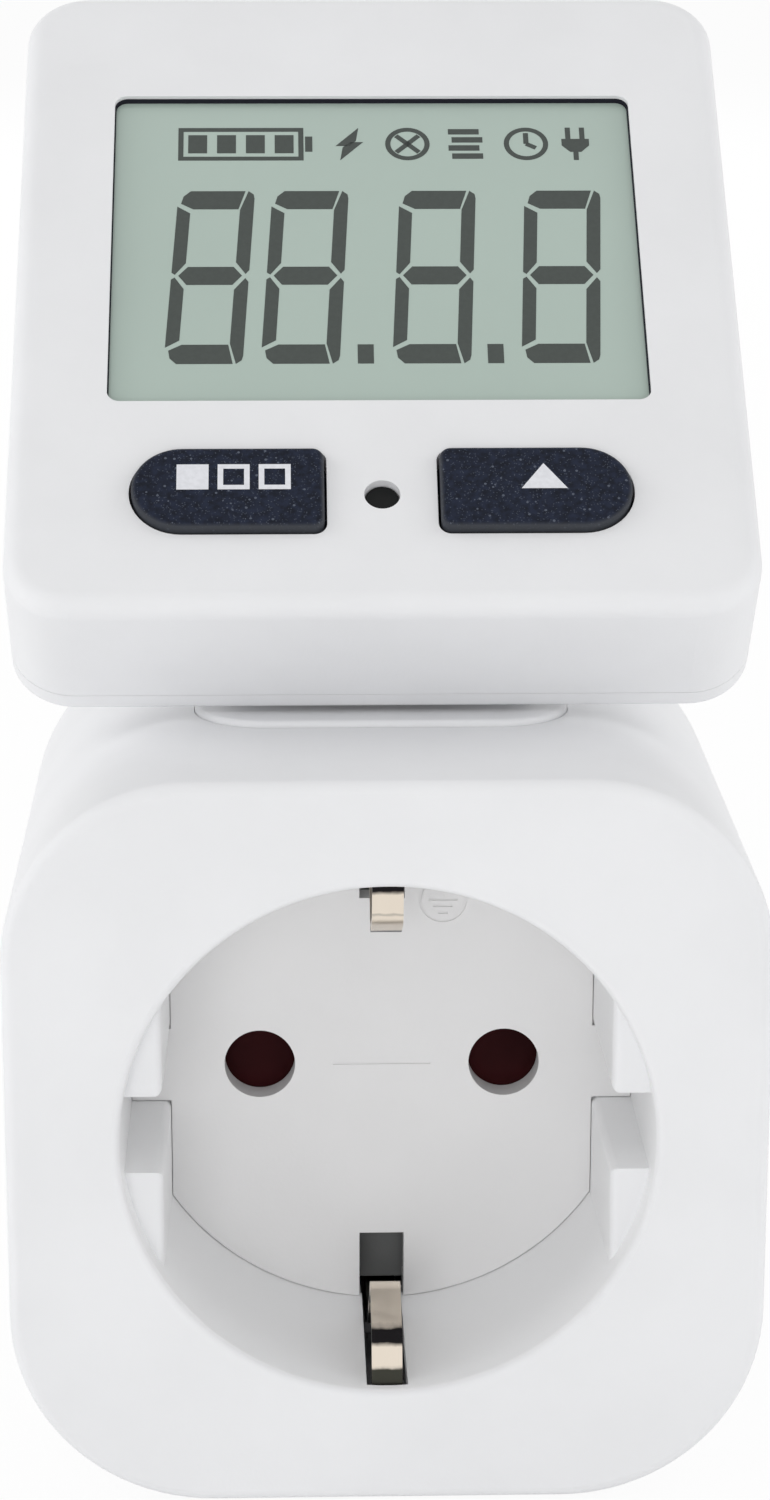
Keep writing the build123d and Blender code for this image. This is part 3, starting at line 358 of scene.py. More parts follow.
@dataclass(frozen=True)
class Moulded(Finish):
    """Injection-moulded plastic with a spark-eroded grain and faint clouding."""

    name: str
    colour: Colour
    roughness: float = 0.5
    roughness_spread: float = 0.06
    grain_scale: float = 3500.0
    depth: float = 0.000012
    cloud_scale: float = 90.0
    contrast: float = 0.03
    specular: float = 0.5

    def surface(self) -> Surface:
        """Builds the plastic.

        Returns:
            The dressed surface.
        """
        surface = Surface(self.name)
        cloud = surface.cloud(self.cloud_scale, self.colour, 1.0 - self.contrast)
        height = surface.grain(self.grain_scale)
        surface.set(Base_Color=cloud["Color"], Specular_IOR_Level=self.specular)
        surface.roughen_about(height, self.roughness, self.roughness_spread)
        surface.bump(height, self.depth)
        return surface


@dataclass(frozen=True)
class BowlWithPaintedLight(Finish):
    """Shell plastic whose round recess walls are tinted a little lighter than the outside:
    painted light in the shaded recess.
    """

    shell: Moulded
    bowl_painted_light: Colour
    radius: float = 19.9
    blend: float = 0.4
    frontal_outside: float = 0.6
    frontal_wall: float = 0.1

    def surface(self) -> Surface:
        """Builds the plastic with painted light on the recess walls.

        Returns:
            The dressed surface.
        """
        surface = self.shell.surface()
        graph = surface.graph
        facing = graph.add("ShaderNodeSeparateXYZ", {"Vector": surface.normal})
        frontal = graph.add("ShaderNodeMath", {0: facing.outputs["Y"]}, operation="ABSOLUTE")
        wall = graph.spread(frontal.outputs["Value"], (self.frontal_outside, self.frontal_wall))
        across = graph.add("ShaderNodeVectorMath", {0: surface.place, 1: (1.0, 0.0, 1.0)},
                           operation="MULTIPLY")
        reach = graph.add("ShaderNodeVectorMath", {0: across.outputs["Vector"]},
                          operation="LENGTH")
        inside = graph.spread(reach.outputs["Value"],
                              ((self.radius + self.blend) * MM, self.radius * MM))
        # Painted light: recess walls inside the radius that face across the depth axis are tinted
        # lighter.
        surface.tint(graph.math("MULTIPLY", inside, wall), self.bowl_painted_light)
        return surface


@dataclass(frozen=True)
class Matt(Finish):
    """Plain matt skin with faint clouding, such as printed ink or a display segment."""

    name: str
    colour: Colour
    roughness: float = 0.5
    roughness_spread: float = 0.05
    cloud_scale: float = 2600.0
    cloud_light: float = 1.0
    cloud_dark: float = 0.92
    specular: float = 0.5

    def surface(self) -> Surface:
        """Builds the skin.

        Returns:
            The dressed surface.
        """
        surface = Surface(self.name)
        cloud = surface.cloud(self.cloud_scale, self.colour, self.cloud_dark, self.cloud_light)
        surface.set(Base_Color=cloud["Color"], Specular_IOR_Level=self.specular)
        surface.roughen_about(cloud["Value"], self.roughness, self.roughness_spread)
        return surface


@dataclass(frozen=True)
class Rubber(Matt):
    """Plain silicone, with cross stripes where it has them."""

    roughness: float = 0.6
    cloud_scale: float = 400.0
    cloud_light: float = 1.1
    cloud_dark: float = 0.85
    stripes: float = 0.0
    stripe_factor: float = 0.2

    def surface(self) -> Surface:
        """Builds the rubber.

        Returns:
            The dressed surface.
        """
        surface = super().surface()
        if self.stripes:
            wave = surface.graph.add("ShaderNodeTexWave", {
                "Vector": surface.place, "Scale": self.stripes}, wave_type="BANDS",
                bands_direction="X")
            surface.tint(wave.outputs["Fac"], self.colour, self.stripe_factor)
        return surface


@dataclass(frozen=True)
class FleckedRubber(Matt):
    """Filled silicone with pale flecks, a dusty skin and paler edges."""

    flecks: Colour = (0.1, 0.115, 0.15)
    pale_edge: Colour = (0.058, 0.062, 0.07)
    facing: Place = (0.0, -0.6427876, 0.7660444)
    roughness: float = 0.62
    roughness_spread: float = 0.08
    cloud_scale: float = 1800.0
    cloud_light: float = 1.5
    cloud_dark: float = 0.6
    fleck_scale: float = 7000.0
    fleck_share: float = 0.3
    fine_strength: float = 0.55
    coarse_scale_share: float = 0.45
    coarse_share: float = 0.3
    coarse_strength: float = 0.9
    grain_scale: float = 4200.0
    grain_depth: float = 0.00003
    edge_range: Range = (0.985, 0.6)
    edge_strength: float = 0.8
    specular: float = 0.12

    def surface(self) -> Surface:
        """Builds the rubber, paler where it turns away from the face.

        Returns:
            The dressed surface.
        """
        surface = super().surface()
        graph = surface.graph
        for strength, scale, share in (
                (self.fine_strength, self.fleck_scale, self.fleck_share),
                (self.coarse_strength, self.fleck_scale * self.coarse_scale_share,
                 self.fleck_share * self.coarse_share)):
            mask = surface.effect(fleck, Scale=scale, Spread=share)["Mask"]
            surface.tint(graph.math("MULTIPLY", mask, strength), self.flecks)
        # The colour goes paler where the surface turns away from the face.
        turn = graph.add("ShaderNodeVectorMath", {0: surface.normal, 1: self.facing},
                         operation="DOT_PRODUCT")
        edge = graph.spread(turn.outputs["Value"], self.edge_range, (0.0, self.edge_strength))
        surface.tint(edge, self.pale_edge)
        surface.bump(surface.grain(self.grain_scale), self.grain_depth)
        return surface


@dataclass(frozen=True)
class Metal(Finish):
    """Rolled or drawn metal, plated or bare."""

    name: str
    colour: Colour
    roughness: float = 0.2
    smooth_share: float = 0.7
    rough_share: float = 1.4
    line_scale: float = 9000.0
    line_depth: float = 0.000002
    stain_scale: float = 350.0
    stain_factor: float = 0.86

    def surface(self) -> Surface:
        """Builds the metal.

        Returns:
            The dressed surface.
        """
        surface = Surface(self.name)
        stain = surface.cloud(self.stain_scale, self.colour, self.stain_factor)
        self.draw(surface, stain["Color"])
        return surface

    def draw(self, surface: Surface, colour: Socket) -> None:
        """Gives a surface the shine and the drawn lines of the metal.

        Args:
            surface: The surface, which is changed.
            colour: Socket of its colour.
        """
        lines = surface.effect(drawn_lines, Scale=self.line_scale)
        surface.set(Base_Color=colour, Metallic=1.0)
        surface.roughen(lines["Value"], self.roughness * self.smooth_share,
                        self.roughness * self.rough_share)
        surface.bump(lines["Height"], self.line_depth)


@dataclass(frozen=True)
class StripWithPaintedReflections(Finish):
    """Plated spring strip with painted reflection bands across it where it is bent, at set
    heights in mm.
    """

    plate: Metal
    bands: Tuple[Tuple[float, Colour], ...]
    reach: float = 21.0
    sway: float = 0.25
    sway_scale: float = 1400.0

    def surface(self) -> Surface:
        """Builds the strip.

        Returns:
            The dressed surface.
        """
        surface = Surface(self.plate.name)
        graph = surface.graph
        height = graph.add("ShaderNodeSeparateXYZ", {"Vector": surface.place}).outputs["Z"]
        wander = graph.add("ShaderNodeTexNoise", {
            "Vector": surface.place, "Scale": self.sway_scale})
        swayed = graph.add("ShaderNodeMath", {
            0: wander.outputs["Fac"], 1: self.sway * MM, 2: height}, operation="MULTIPLY_ADD")
        level = graph.spread(swayed.outputs["Value"], (-self.reach * MM, self.reach * MM))
        # Painted reflections: the ramp lays the listed bands across the strip by height.
        ramp = graph.add("ShaderNodeValToRGB", {"Fac": level})
        stops = ramp.color_ramp.elements
        for number, (place, colour) in enumerate(self.bands):
            share = (place + self.reach) / (2 * self.reach)
            stop = stops[number] if number < len(stops) else stops.new(share)
            stop.position = share
            stop.color = tinted(colour)
        self.plate.draw(surface, ramp.outputs["Color"])
        return surface


@dataclass(frozen=True)
class Pane(Finish):
    """Display pane under a satin polariser."""

    name: str
    colour: Colour
    roughness: float = 0.32
    roughness_spread: float = 0.05
    cloud_scale: float = 55.0
    cloud_dark: float = 0.975
    grain_scale: float = 9000.0
    coat: float = 0.15
    coat_roughness: float = 0.12

    def surface(self) -> Surface:
        """Builds the pane.

        Returns:
            The dressed surface.
        """
        surface = Surface(self.name)
        cloud = surface.cloud(self.cloud_scale, self.colour, self.cloud_dark)
        surface.set(Base_Color=cloud["Color"], Coat_Weight=self.coat,
                    Coat_Roughness=self.coat_roughness)
        surface.roughen_about(surface.grain(self.grain_scale), self.roughness,
                              self.roughness_spread)
        return surface


@dataclass(frozen=True)
class Laminate(Finish):
    """Circuit board with solder mask over its tracks."""

    name: str
    mask: Colour
    track: Colour
    track_scale: float = 520.0
    track_width: float = 0.09
    track_height: float = 0.00003
    grain_scale: float = 2500.0
    roughness_range: Range = (0.22, 0.4)

    def surface(self) -> Surface:
        """Builds the board.

        Returns:
            The dressed surface.
        """
        surface = Surface(self.name)
        graph = surface.graph
        cells = graph.add("ShaderNodeTexVoronoi", {
            "Vector": surface.place, "Scale": self.track_scale}, feature="DISTANCE_TO_EDGE",
            distance="MANHATTAN")
        edge = graph.math("LESS_THAN", cells.outputs["Distance"], self.track_width)
        surface.set(Base_Color=graph.mix(edge, tinted(self.mask), tinted(self.track)))
        surface.roughen(surface.grain(self.grain_scale), *self.roughness_range)
        surface.bump(edge, self.track_height)
        return surface


SHELL = Moulded("shell_white", (0.828, 0.832, 0.846), roughness=0.46)
NICKEL_COLOUR = (0.80, 0.715, 0.61)
SLOT_FINISHES: Dict[str, Finish] = {
    "shell": SHELL,
    "recess_plastic": Moulded("recess_white", (0.785, 0.782, 0.785), roughness=0.42,
                              depth=0.000009),
    "shutter_plastic": Moulded("shutter_red_brown", (0.034, 0.0065, 0.0075), roughness=0.34,
                               contrast=0.6, specular=0.03),
    "key_rubber": FleckedRubber("key_charcoal", (0.0125, 0.016, 0.029)),
    "dome_rubber": Rubber("collar_silicone", (0.62, 0.62, 0.6)),
    "reset_plastic": Moulded("reset_black", (0.013, 0.014, 0.014), contrast=0.4, specular=0.12),
    "carrier_plastic": Moulded("carrier_dark", (0.24, 0.245, 0.246), contrast=0.25),
    "nickel": Metal("nickel_plate", NICKEL_COLOUR, roughness=0.16),
    "brass": Metal("contact_brass", (0.74, 0.55, 0.27), roughness=0.24),
    "screw_steel": Metal("zinc_steel", (0.6, 0.61, 0.63), roughness=0.3),
    "spring_steel": Metal("spring_steel", (0.55, 0.55, 0.56), roughness=0.22),
    "glass": Pane("display_pane", (0.42, 0.512, 0.461)),
    "reflector": Moulded("reflector_film", (0.42, 0.5, 0.44), roughness=0.35),
    "frame_plastic": Moulded("frame_black", (0.02, 0.02, 0.021)),
    "elastomer": Rubber("striped_elastomer", (0.5, 0.5, 0.52), stripes=1800.0),
    "board": Laminate("solder_mask_green", (0.012, 0.12, 0.045), (0.03, 0.2, 0.08)),
    "component_black": Moulded("component_black", (0.02, 0.02, 0.022), roughness=0.3),
    "component_yellow": Moulded("component_yellow", (0.62, 0.42, 0.05), roughness=0.28),
    "component_blue": Moulded("component_blue", (0.03, 0.08, 0.3), roughness=0.25),
    "component_can": Metal("component_can", (0.7, 0.71, 0.73), roughness=0.28),
    "header_plastic": Moulded("header_cream", (0.75, 0.7, 0.58), roughness=0.4),
    "lead_pvc": Moulded("lead_grey", (0.45, 0.45, 0.47), roughness=0.45),
}
SEGMENT_INK = Matt("segment_dark", (0.072, 0.083, 0.077), roughness=0.42, specular=0.2)
KEY_INK = Matt("key_print_white", (0.78, 0.79, 0.83), roughness=0.55)
# Dark ink for the strip of painted shade along the display window's edge.
WINDOW_SHADE_INK = Matt("window_shade_black", (0.018, 0.018, 0.026), roughness=0.7, specular=0.1)
CREAM = NICKEL_COLOUR
BEIGE = (0.47, 0.43, 0.375)
OLIVE = (0.052, 0.052, 0.042)
DARK_REFLECTION = (0.014, 0.013, 0.014)
# Painted reflections on the bent earth strip: dark, olive and beige bands where its bends mirror
# darker surroundings, nickel cream between them, by height in mm.
CLIP_PAINTED_REFLECTIONS = (
    (-18.7, OLIVE), (-18.5, CREAM), (-16.95, CREAM), (-16.85, DARK_REFLECTION), (-15.88, DARK_REFLECTION),
    (-15.68, CREAM), (14.2, CREAM), (14.25, DARK_REFLECTION), (14.6, DARK_REFLECTION), (14.8, CREAM),
    (16.9, CREAM), (17.05, BEIGE), (17.2, CREAM), (18.75, CREAM), (18.95, DARK_REFLECTION),
)
NODE_FINISHES: Dict[str, Finish] = {
    # The front cover's recess walls carry painted light.
    "front_cover": BowlWithPaintedLight(SHELL, (0.93, 0.933, 0.94)),
    # The earth strap carries painted reflection bands.
    "earth_strap": StripWithPaintedReflections(Metal("bent_nickel", NICKEL_COLOUR, roughness=0.3), CLIP_PAINTED_REFLECTIONS),
}


@dataclass(frozen=True)
class HeadFace:
    """The head's front face: its lower middle point, and the ways up it and out of it."""

    origin: Vector
    up: Vector
    out: Vector

    @classmethod
    def of_frame(cls) -> "HeadFace":
        """Reads the face from the head's front cover and from the way that a key is pressed.

        Returns:
            The face of the loaded frame.
        """
        joints = frame["record"]["behaviour"]["joints"]
        press = next(joint for joint in joints if joint["name"] == "mode_press")
        out = -Vector(press["axis"]).normalized()
        up = Vector((0.0, out.z, -out.y))
        corners = [vertex.co for vertex in frame["nodes"]["head_front_cover"].data.vertices]
        lower = min(corner.dot(up) for corner in corners)
        level = max(corner.dot(out) for corner in corners)
        return cls(up * lower + out * level, up, out)

    def matrix(self) -> Matrix:
        """Returns the transform from the face's own millimetres to the scene."""
        turn = Matrix((Vector((1.0, 0.0, 0.0)), self.up, self.out)).transposed().to_4x4()
        return Matrix.Translation(self.origin) @ turn @ Matrix.Scale(MM, 4)

    def points(self, node: str) -> List[Vector]:
        """Returns the corners of a CAD node in the face's own millimetres."""
        inverse = self.matrix().inverted()
        return [inverse @ vertex.co for vertex in frame["nodes"][node].data.vertices]


def thicken(mesh: bmesh.types.BMesh, face: HeadFace, thickness: float) -> None:
    """Makes flat outlines solid and carries them from the face's millimetres to the scene.

    Args:
        mesh: The outlines, which are changed.
        face: The head's face.
        thickness: Thickness in millimetres, out of the face.
    """
    raised = bmesh.ops.extrude_face_region(mesh, geom=list(mesh.faces))
    moved = [part for part in raised["geom"] if isinstance(part, bmesh.types.BMVert)]
    bmesh.ops.translate(mesh, verts=moved, vec=(0.0, 0.0, thickness))
    bmesh.ops.transform(mesh, matrix=face.matrix(), verts=mesh.verts)
    bmesh.ops.recalc_face_normals(mesh, faces=mesh.faces)


def place_mesh(name: str, mesh: bmesh.types.BMesh,
               material: bpy.types.Material) -> bpy.types.Object:
    """Puts a finished mesh into the scene.

    Args:
        name: Name of the object.
        mesh: The shape, in metres and in place, which is freed.
        material: Its material.

    Returns:
        The object.
    """
    data = bpy.data.meshes.new(name)
    mesh.to_mesh(data)
    mesh.free()
    data.materials.append(material)
    placed = bpy.data.objects.new(name, data)
    bpy.context.scene.collection.objects.link(placed)
    return placed


def finish_piece(name: str, mesh: bmesh.types.BMesh, finish: Finish,
                 body: Body) -> bpy.types.Object:
    """Turns a mesh under construction into a piece of the object.

    Args:
        name: Name of the piece.
        mesh: The finished shape, in metres and in place.
        finish: What it is made of or printed with.
        body: Body that carries it.

    Returns:
        The piece.
    """
    piece = place_mesh(name, mesh, finish.material())
    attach(piece, body.value)
    LOG.info("made %s", name)
    return piece


class FlatShape:
    """Collects flat outlines in the face's millimetres and makes one thin piece of them."""

    def __init__(self, name: str) -> None:
        """Starts an empty shape.

        Args:
            name: Name of the piece.
        """
        self.name = name
        self.mesh = bmesh.new()

    def outline(self, points: Sequence[Point]) -> None:
        """Adds a face with the given corners."""
        self.mesh.faces.new([self.mesh.verts.new((x, y, 0.0)) for x, y in points])

    def block(self, low: Point, high: Point) -> None:
        """Adds a filled rectangle between two corners."""
        self.outline([low, (high[0], low[1]), high, (low[0], high[1])])

    def bar(self, start: Point, end: Point, width: float) -> None:
        """Adds a straight line of some width.

        Args:
            start: Middle of one end.
            end: Middle of the other end.
            width: Width of the line.
        """
        first, last = Vector(start), Vector(end)
        way = (last - first).normalized() * width / 2
        side = Vector((-way.y, way.x))
        self.outline([tuple(corner) for corner in (first - side, last - side, last + side,
                                                   first + side)])

    def ring(self, centre: Point, radius: float, width: float, steps: int = 40) -> None:
        """Adds a round line.

        Args:
            centre: Middle of the ring.
            radius: Outer radius.
            width: Width of the line.
            steps: Number of straight sides.
        """
        made = bmesh.ops.create_circle(self.mesh, cap_ends=True, segments=steps, radius=radius,
                                       matrix=Matrix.Translation((centre[0], centre[1], 0.0)))
        disc = list({face for vertex in made["verts"] for face in vertex.link_faces})
        bmesh.ops.inset_region(self.mesh, faces=disc, thickness=width, use_even_offset=True,
                               use_boundary=True)
        bmesh.ops.delete(self.mesh, geom=disc, context="FACES_ONLY")

    def frame(self, low: Point, high: Point, width: float) -> None:
        """Adds an open rectangle.

        Args:
            low: Its lower left corner.
            high: Its upper right corner.
            width: Width of its line.
        """
        inner = width / 2
        for level in (low[1] + inner, high[1] - inner):
            self.bar((low[0], level), (high[0], level), width)
        for across in (low[0] + inner, high[0] - inner):
            self.bar((across, low[1] + width), (across, high[1] - width), width)

    def piece(self, face: HeadFace, level: float, thickness: float, finish: Finish, slot: str,
              body: Body) -> bpy.types.Object:
        """Makes the object, laid on the face at a level, and lets it ride on a body.

        Args:
            face: The head's face.
            level: Height of the underside over the face, in millimetres.
            thickness: Thickness in millimetres.
            finish: What it is printed with.
            slot: Material slot of the record that it belongs to; not used.
            body: Body that carries it.

        Returns:
            The finished piece.
        """
        bmesh.ops.recalc_face_normals(self.mesh, faces=self.mesh.faces)
        bmesh.ops.translate(self.mesh, verts=self.mesh.verts, vec=(0.0, 0.0, level))
        thicken(self.mesh, face, thickness)
        return finish_piece(self.name, self.mesh, finish, body)


# Bars of a digit in shares of its width and height: top, upper left and upper right, which the
# lower half mirrors, and then the middle one.
UPPER_BARS: Tuple[Outline, ...] = (
    ((0.045, 0.925), (0.07, 0.968), (0.16, 1.0), (0.875, 1.0), (0.80, 0.892), (0.21, 0.892)),
    ((0.0, 0.908), (0.175, 0.868), (0.175, 0.575), (0.045, 0.508), (0.0, 0.52)),
    ((0.915, 1.0), (0.985, 0.98), (1.0, 0.955), (1.0, 0.535), (0.955, 0.512), (0.82, 0.58),
     (0.82, 0.886)),
)
MIDDLE_BAR: Outline = ((0.09, 0.502), (0.205, 0.553), (0.795, 0.553), (0.91, 0.502),
                       (0.795, 0.449), (0.205, 0.449))


@dataclass
class Digit:
    """One seven-bar digit of the display, leaning to the right."""

    left: float
    bottom: float = 24.12
    width: float = 6.1
    height: float = 18.12
    slant: float = 0.98

    def place(self, x_share: float, y_share: float) -> Point:
        """Returns a point of the digit on the face, in millimetres."""
        x = self.left + x_share * self.width + y_share * self.slant
        return x, self.bottom + y_share * self.height

    def draw(self, shape: FlatShape) -> None:
        """Adds the seven bars.

        Args:
            shape: Where they go.
        """
        for bar in UPPER_BARS:
            shape.outline([self.place(x, y) for x, y in bar])
            shape.outline([self.place(x, 1.0 - y) for x, y in bar])
        shape.outline([self.place(x, y) for x, y in MIDDLE_BAR])


# Strokes of two picture signs, in shares of half their height from their middle.
BOLT_STROKES: Tuple[Outline, ...] = (
    ((0.42, 1.0), (-0.62, -0.12), (0.02, -0.12), (0.3, 0.2)),
    ((-0.42, -1.0), (0.62, 0.12), (0.06, 0.12), (-0.3, -0.2)),
)
PLUG_BODY: Outline = ((-0.62, 0.3), (-0.62, -0.1), (-0.25, -0.5), (0.25, -0.5), (0.62, -0.1),
                      (0.62, 0.3))
PLUG_LINES: Tuple[Outline, ...] = (
    ((0.0, -0.5), (0.0, -1.0)), ((-0.32, 0.3), (-0.32, 1.0)), ((0.32, 0.3), (0.32, 1.0)))


@dataclass
class SignRow:
    """The row of picture signs at the top of the display."""

    low: float = 45.6
    high: float = 49.2
    line: float = 0.42
    gauge_left: float = -15.7
    gauge_right: float = -5.6
    gauge_blocks: int = 4
    gauge_gap_lines: float = 1.9
    cap_half_lines: float = 2.0
    cap_lines: float = 1.4
    bolt: float = -1.9
    lamp: float = 2.8
    cross_inset_lines: float = 1.2
    coins: float = 7.5
    coin_count: int = 4
    coin_half_width: float = 1.25
    coin_share: float = 0.66
    coin_shift_share: float = 0.15
    clock: float = 12.4
    clock_hands: Tuple[Range, ...] = ((0.0, 0.66), (pi * 2 / 3, 0.5))
    plug: float = 16.4

    @property
    def middle(self) -> float:
        """Middle height of the row."""
        return (self.low + self.high) / 2

    @property
    def reach(self) -> float:
        """Half the height of the row."""
        return (self.high - self.low) / 2

    def shapes(self) -> List[FlatShape]:
        """Draws the signs from left to right.

        Returns:
            One shape for each sign.
        """
        draws = {"gauge": self.draw_gauge, "bolt": self.draw_bolt, "lamp": self.draw_lamp,
                 "coins": self.draw_coins, "clock": self.draw_clock, "plug": self.draw_plug}
        drawn = {name: FlatShape(f"display_sign_{name}") for name in draws}
        for name, draw in draws.items():
            draw(drawn[name])
        return list(drawn.values())

    def around(self, middle: float, shares: Sequence[Point]) -> List[Point]:
        """Returns points given in shares of the reach, around the middle of a sign."""
        return [(middle + self.reach * x, self.middle + self.reach * y) for x, y in shares]

    def draw_gauge(self, shape: FlatShape) -> None:
        """Adds a level gauge with blocks and a cap.

        Args:
            shape: Where it goes.
        """
        shape.frame((self.gauge_left, self.low), (self.gauge_right, self.high), self.line)
        across, half = self.gauge_right + self.line, self.line * self.cap_half_lines
        shape.bar((across, self.middle - half), (across, self.middle + half),
                  self.line * self.cap_lines)
        gap = self.line * self.gauge_gap_lines
        pitch = (self.gauge_right - self.gauge_left - gap) / self.gauge_blocks
        for step in range(self.gauge_blocks):
            start = self.gauge_left + gap + step * pitch
            shape.block((start, self.low + gap), (start + pitch - gap, self.high - gap))

    def draw_bolt(self, shape: FlatShape) -> None:
        """Adds a plain lightning flash of two strokes."""
        for stroke in BOLT_STROKES:
            shape.outline(self.around(self.bolt, stroke))

    def draw_lamp(self, shape: FlatShape) -> None:
        """Adds the circuit sign of a lamp: a ring with a cross.

        Args:
            shape: Where it goes.
        """
        shape.ring((self.lamp, self.middle), self.reach, self.line)
        arm = (self.reach - self.line * self.cross_inset_lines) * cos(pi / 4)
        for way in (-arm, arm):
            shape.bar((self.lamp - arm, self.middle - way), (self.lamp + arm, self.middle + way),
                      self.line)

    def draw_coins(self, shape: FlatShape) -> None:
        """Adds a stack of coins, shifted left and right by turns.

        Args:
            shape: Where it goes.
        """
        pitch = (self.high - self.low) / self.coin_count
        for step in range(self.coin_count):
            level = self.low + pitch * (step + 0.5)
            middle = self.coins + pitch * self.coin_shift_share * (-1) ** step
            shape.bar((middle - self.coin_half_width, level),
                      (middle + self.coin_half_width, level), pitch * self.coin_share)

    def draw_clock(self, shape: FlatShape) -> None:
        """Adds a clock with two hands.

        Args:
            shape: Where it goes.
        """
        centre = Vector((self.clock, self.middle))
        shape.ring(tuple(centre), self.reach, self.line)
        for angle, share in self.clock_hands:
            end = centre + Vector((sin(angle), cos(angle))) * self.reach * share
            shape.bar(tuple(centre), tuple(end), self.line)

    def draw_plug(self, shape: FlatShape) -> None:
        """Adds a plug with two pins and its lead.

        Args:
            shape: Where it goes.
        """
        shape.outline(self.around(self.plug, PLUG_BODY))
        for line in PLUG_LINES:
            start, end = self.around(self.plug, line)
            shape.bar(start, end, self.line)


@dataclass
class Display:
    """The display: its digits, points, picture signs and the dark strip of painted shade round
    the pane.
    """

    face: HeadFace
    digit_lefts: Tuple[float, ...] = (-16.59, -9.1, 1.07, 11.07)
    point_lefts: Tuple[float, ...] = (-1.59, 8.48)
    point_width: float = 1.25
    point_height: float = 1.95
    pane_level: float = -0.75
    print_thickness: float = 0.015

    def build(self) -> None:
        """Makes every piece of the display."""
        for number, left in enumerate(self.digit_lefts, start=1):
            shape = FlatShape(f"display_digit_{number}")
            Digit(left).draw(shape)
            self.lay(shape)
        for number, left in enumerate(self.point_lefts, start=1):
            shape = FlatShape(f"display_point_{number}")
            shape.block((left, Digit.bottom),
                        (left + self.point_width, Digit.bottom + self.point_height))
            self.lay(shape)
        for shape in SignRow().shapes():
            self.lay(shape)
        # Painted shade round the pane.
        WindowEdgeShade(self.face).build()

    def lay(self, shape: FlatShape) -> bpy.types.Object:
        """Lays a shape on the pane."""
        return shape.piece(self.face, self.pane_level, self.print_thickness, SEGMENT_INK,
                           "frame_plastic", Body.HEAD)


@dataclass
class WindowEdgeShade:
    """A dark strip of painted shade that lines the window's wall just over the pane."""

    face: HeadFace
    width: float = 0.1
    height: float = 0.42
    corner: float = 1.0
    corner_steps: int = 6
    lip_level: float = -0.7
    lip_tolerance: float = 0.02
    search_half_width: float = 21.5
    search_low: float = 19.0
    search_high: float = 53.0

    def window(self) -> Tuple[Vector, Vector]:
        """Finds the window by the corners that its wall has just over the pane.

        Returns:
            Its lower left and its upper right corner, in the face's millimetres.
        """
        lip = [point for point in self.face.points("head_front_cover")
               if abs(point.z - self.lip_level) < self.lip_tolerance
               and abs(point.x) < self.search_half_width
               and self.search_low < point.y < self.search_high]
        return (Vector((min(point.x for point in lip), min(point.y for point in lip))),
                Vector((max(point.x for point in lip), max(point.y for point in lip))))

    def build(self) -> bpy.types.Object:
        """Makes the strip of painted shade.

        Returns:
            The finished piece.
        """
        low, high = self.window()
        middle = (low + high) / 2
        level = max(point.z for point in self.face.points("lcd_glass"))
        place = Matrix.Translation((middle.x, middle.y, level))
        stretch = Matrix.Diagonal((high.x - low.x, high.y - low.y, 1.0, 1.0))
        mesh = bmesh.new()
        bmesh.ops.create_grid(mesh, x_segments=1, y_segments=1, size=0.5, matrix=place @ stretch)
        bmesh.ops.bevel(mesh, geom=list(mesh.verts), offset=self.corner,
                        segments=self.corner_steps, profile=0.5, affect="VERTICES", material=-1)
        disc = list(mesh.faces)
        bmesh.ops.inset_region(mesh, faces=disc, thickness=self.width, use_even_offset=True,
                               use_boundary=True)
        bmesh.ops.delete(mesh, geom=disc, context="FACES")
        thicken(mesh, self.face, self.height)
        # Painted shade: a dark ring lines the window's wall where its edge shades the pane.
        return finish_piece("window_edge_shade", mesh, WINDOW_SHADE_INK, Body.HEAD)


@dataclass
class KeyPrints:
    """White signs printed on the two keys."""

    face: HeadFace
    level: float = 0.8
    thickness: float = 0.015
    low: float = 10.5
    high: float = 12.9
    row_left: float = -15.4
    row_right: float = -6.85
    squares: int = 3
    arrow: float = 12.15
    arrow_half_share: float = 0.72
    line: float = 0.42

    def build(self) -> None:
        """Makes the row of squares on the left key and the arrow on the right key."""
        row = FlatShape("mode_key_sign")
        side = self.high - self.low
        pitch = (self.row_right - self.row_left - side) / (self.squares - 1)
        for step in range(self.squares):
            left = self.row_left + step * pitch
            low, high = (left, self.low), (left + side, self.high)
            if step == 0:
                row.block(low, high)
            else:
                row.frame(low, high, self.line)
        row.piece(self.face, self.level, self.thickness, KEY_INK, "key_rubber", Body.MODE_KEY)
        arrow = FlatShape("up_key_sign")
        half = side * self.arrow_half_share
        arrow.outline([(self.arrow - half, self.low), (self.arrow + half, self.low),
                       (self.arrow, self.high)])
        arrow.piece(self.face, self.level, self.thickness, KEY_INK, "key_rubber", Body.UP_KEY)


class FrameDressing:
    """Gives every CAD node the finish of its material slot, or its own where it has one."""

    def __init__(self) -> None:
        """Makes one material for each slot of the record and for each node with its own."""
        self.materials = {slot: finish.material() for slot, finish in SLOT_FINISHES.items()}
        self.own = {node: finish.material() for node, finish in NODE_FINISHES.items()}

    def dress(self) -> None:
        """Assigns the materials to the nodes."""
        for entry in frame["record"]["subparts"]:
            node = frame["nodes"][entry["node"]]
            material = self.own.get(entry["node"], self.materials[entry["material_slot"]])
            if not node.material_slots:
                node.data.materials.append(material)
            for slot in node.material_slots:
                slot.material = material
            LOG.info("dressed %s", entry["node"])


@dataclass(frozen=True)
class Lamp:
    """A square lamp that faces the object and that metal and glass don't mirror."""

    name: str
    place: Place
    size: float
    power: float

    def build(self) -> None:
        """Makes the lamp."""
        data = bpy.data.lights.new(self.name, "AREA")
        data.shape = "SQUARE"
        data.size = self.size
        data.energy = self.power
        lamp = bpy.data.objects.new(self.name, data)
        lamp.location = self.place
        lamp.rotation_euler = (-Vector(self.place)).to_track_quat("-Z", "Y").to_euler()
        lamp.visible_glossy = False
        bpy.context.scene.collection.objects.link(lamp)
        LOG.info("lit %s", self.name)


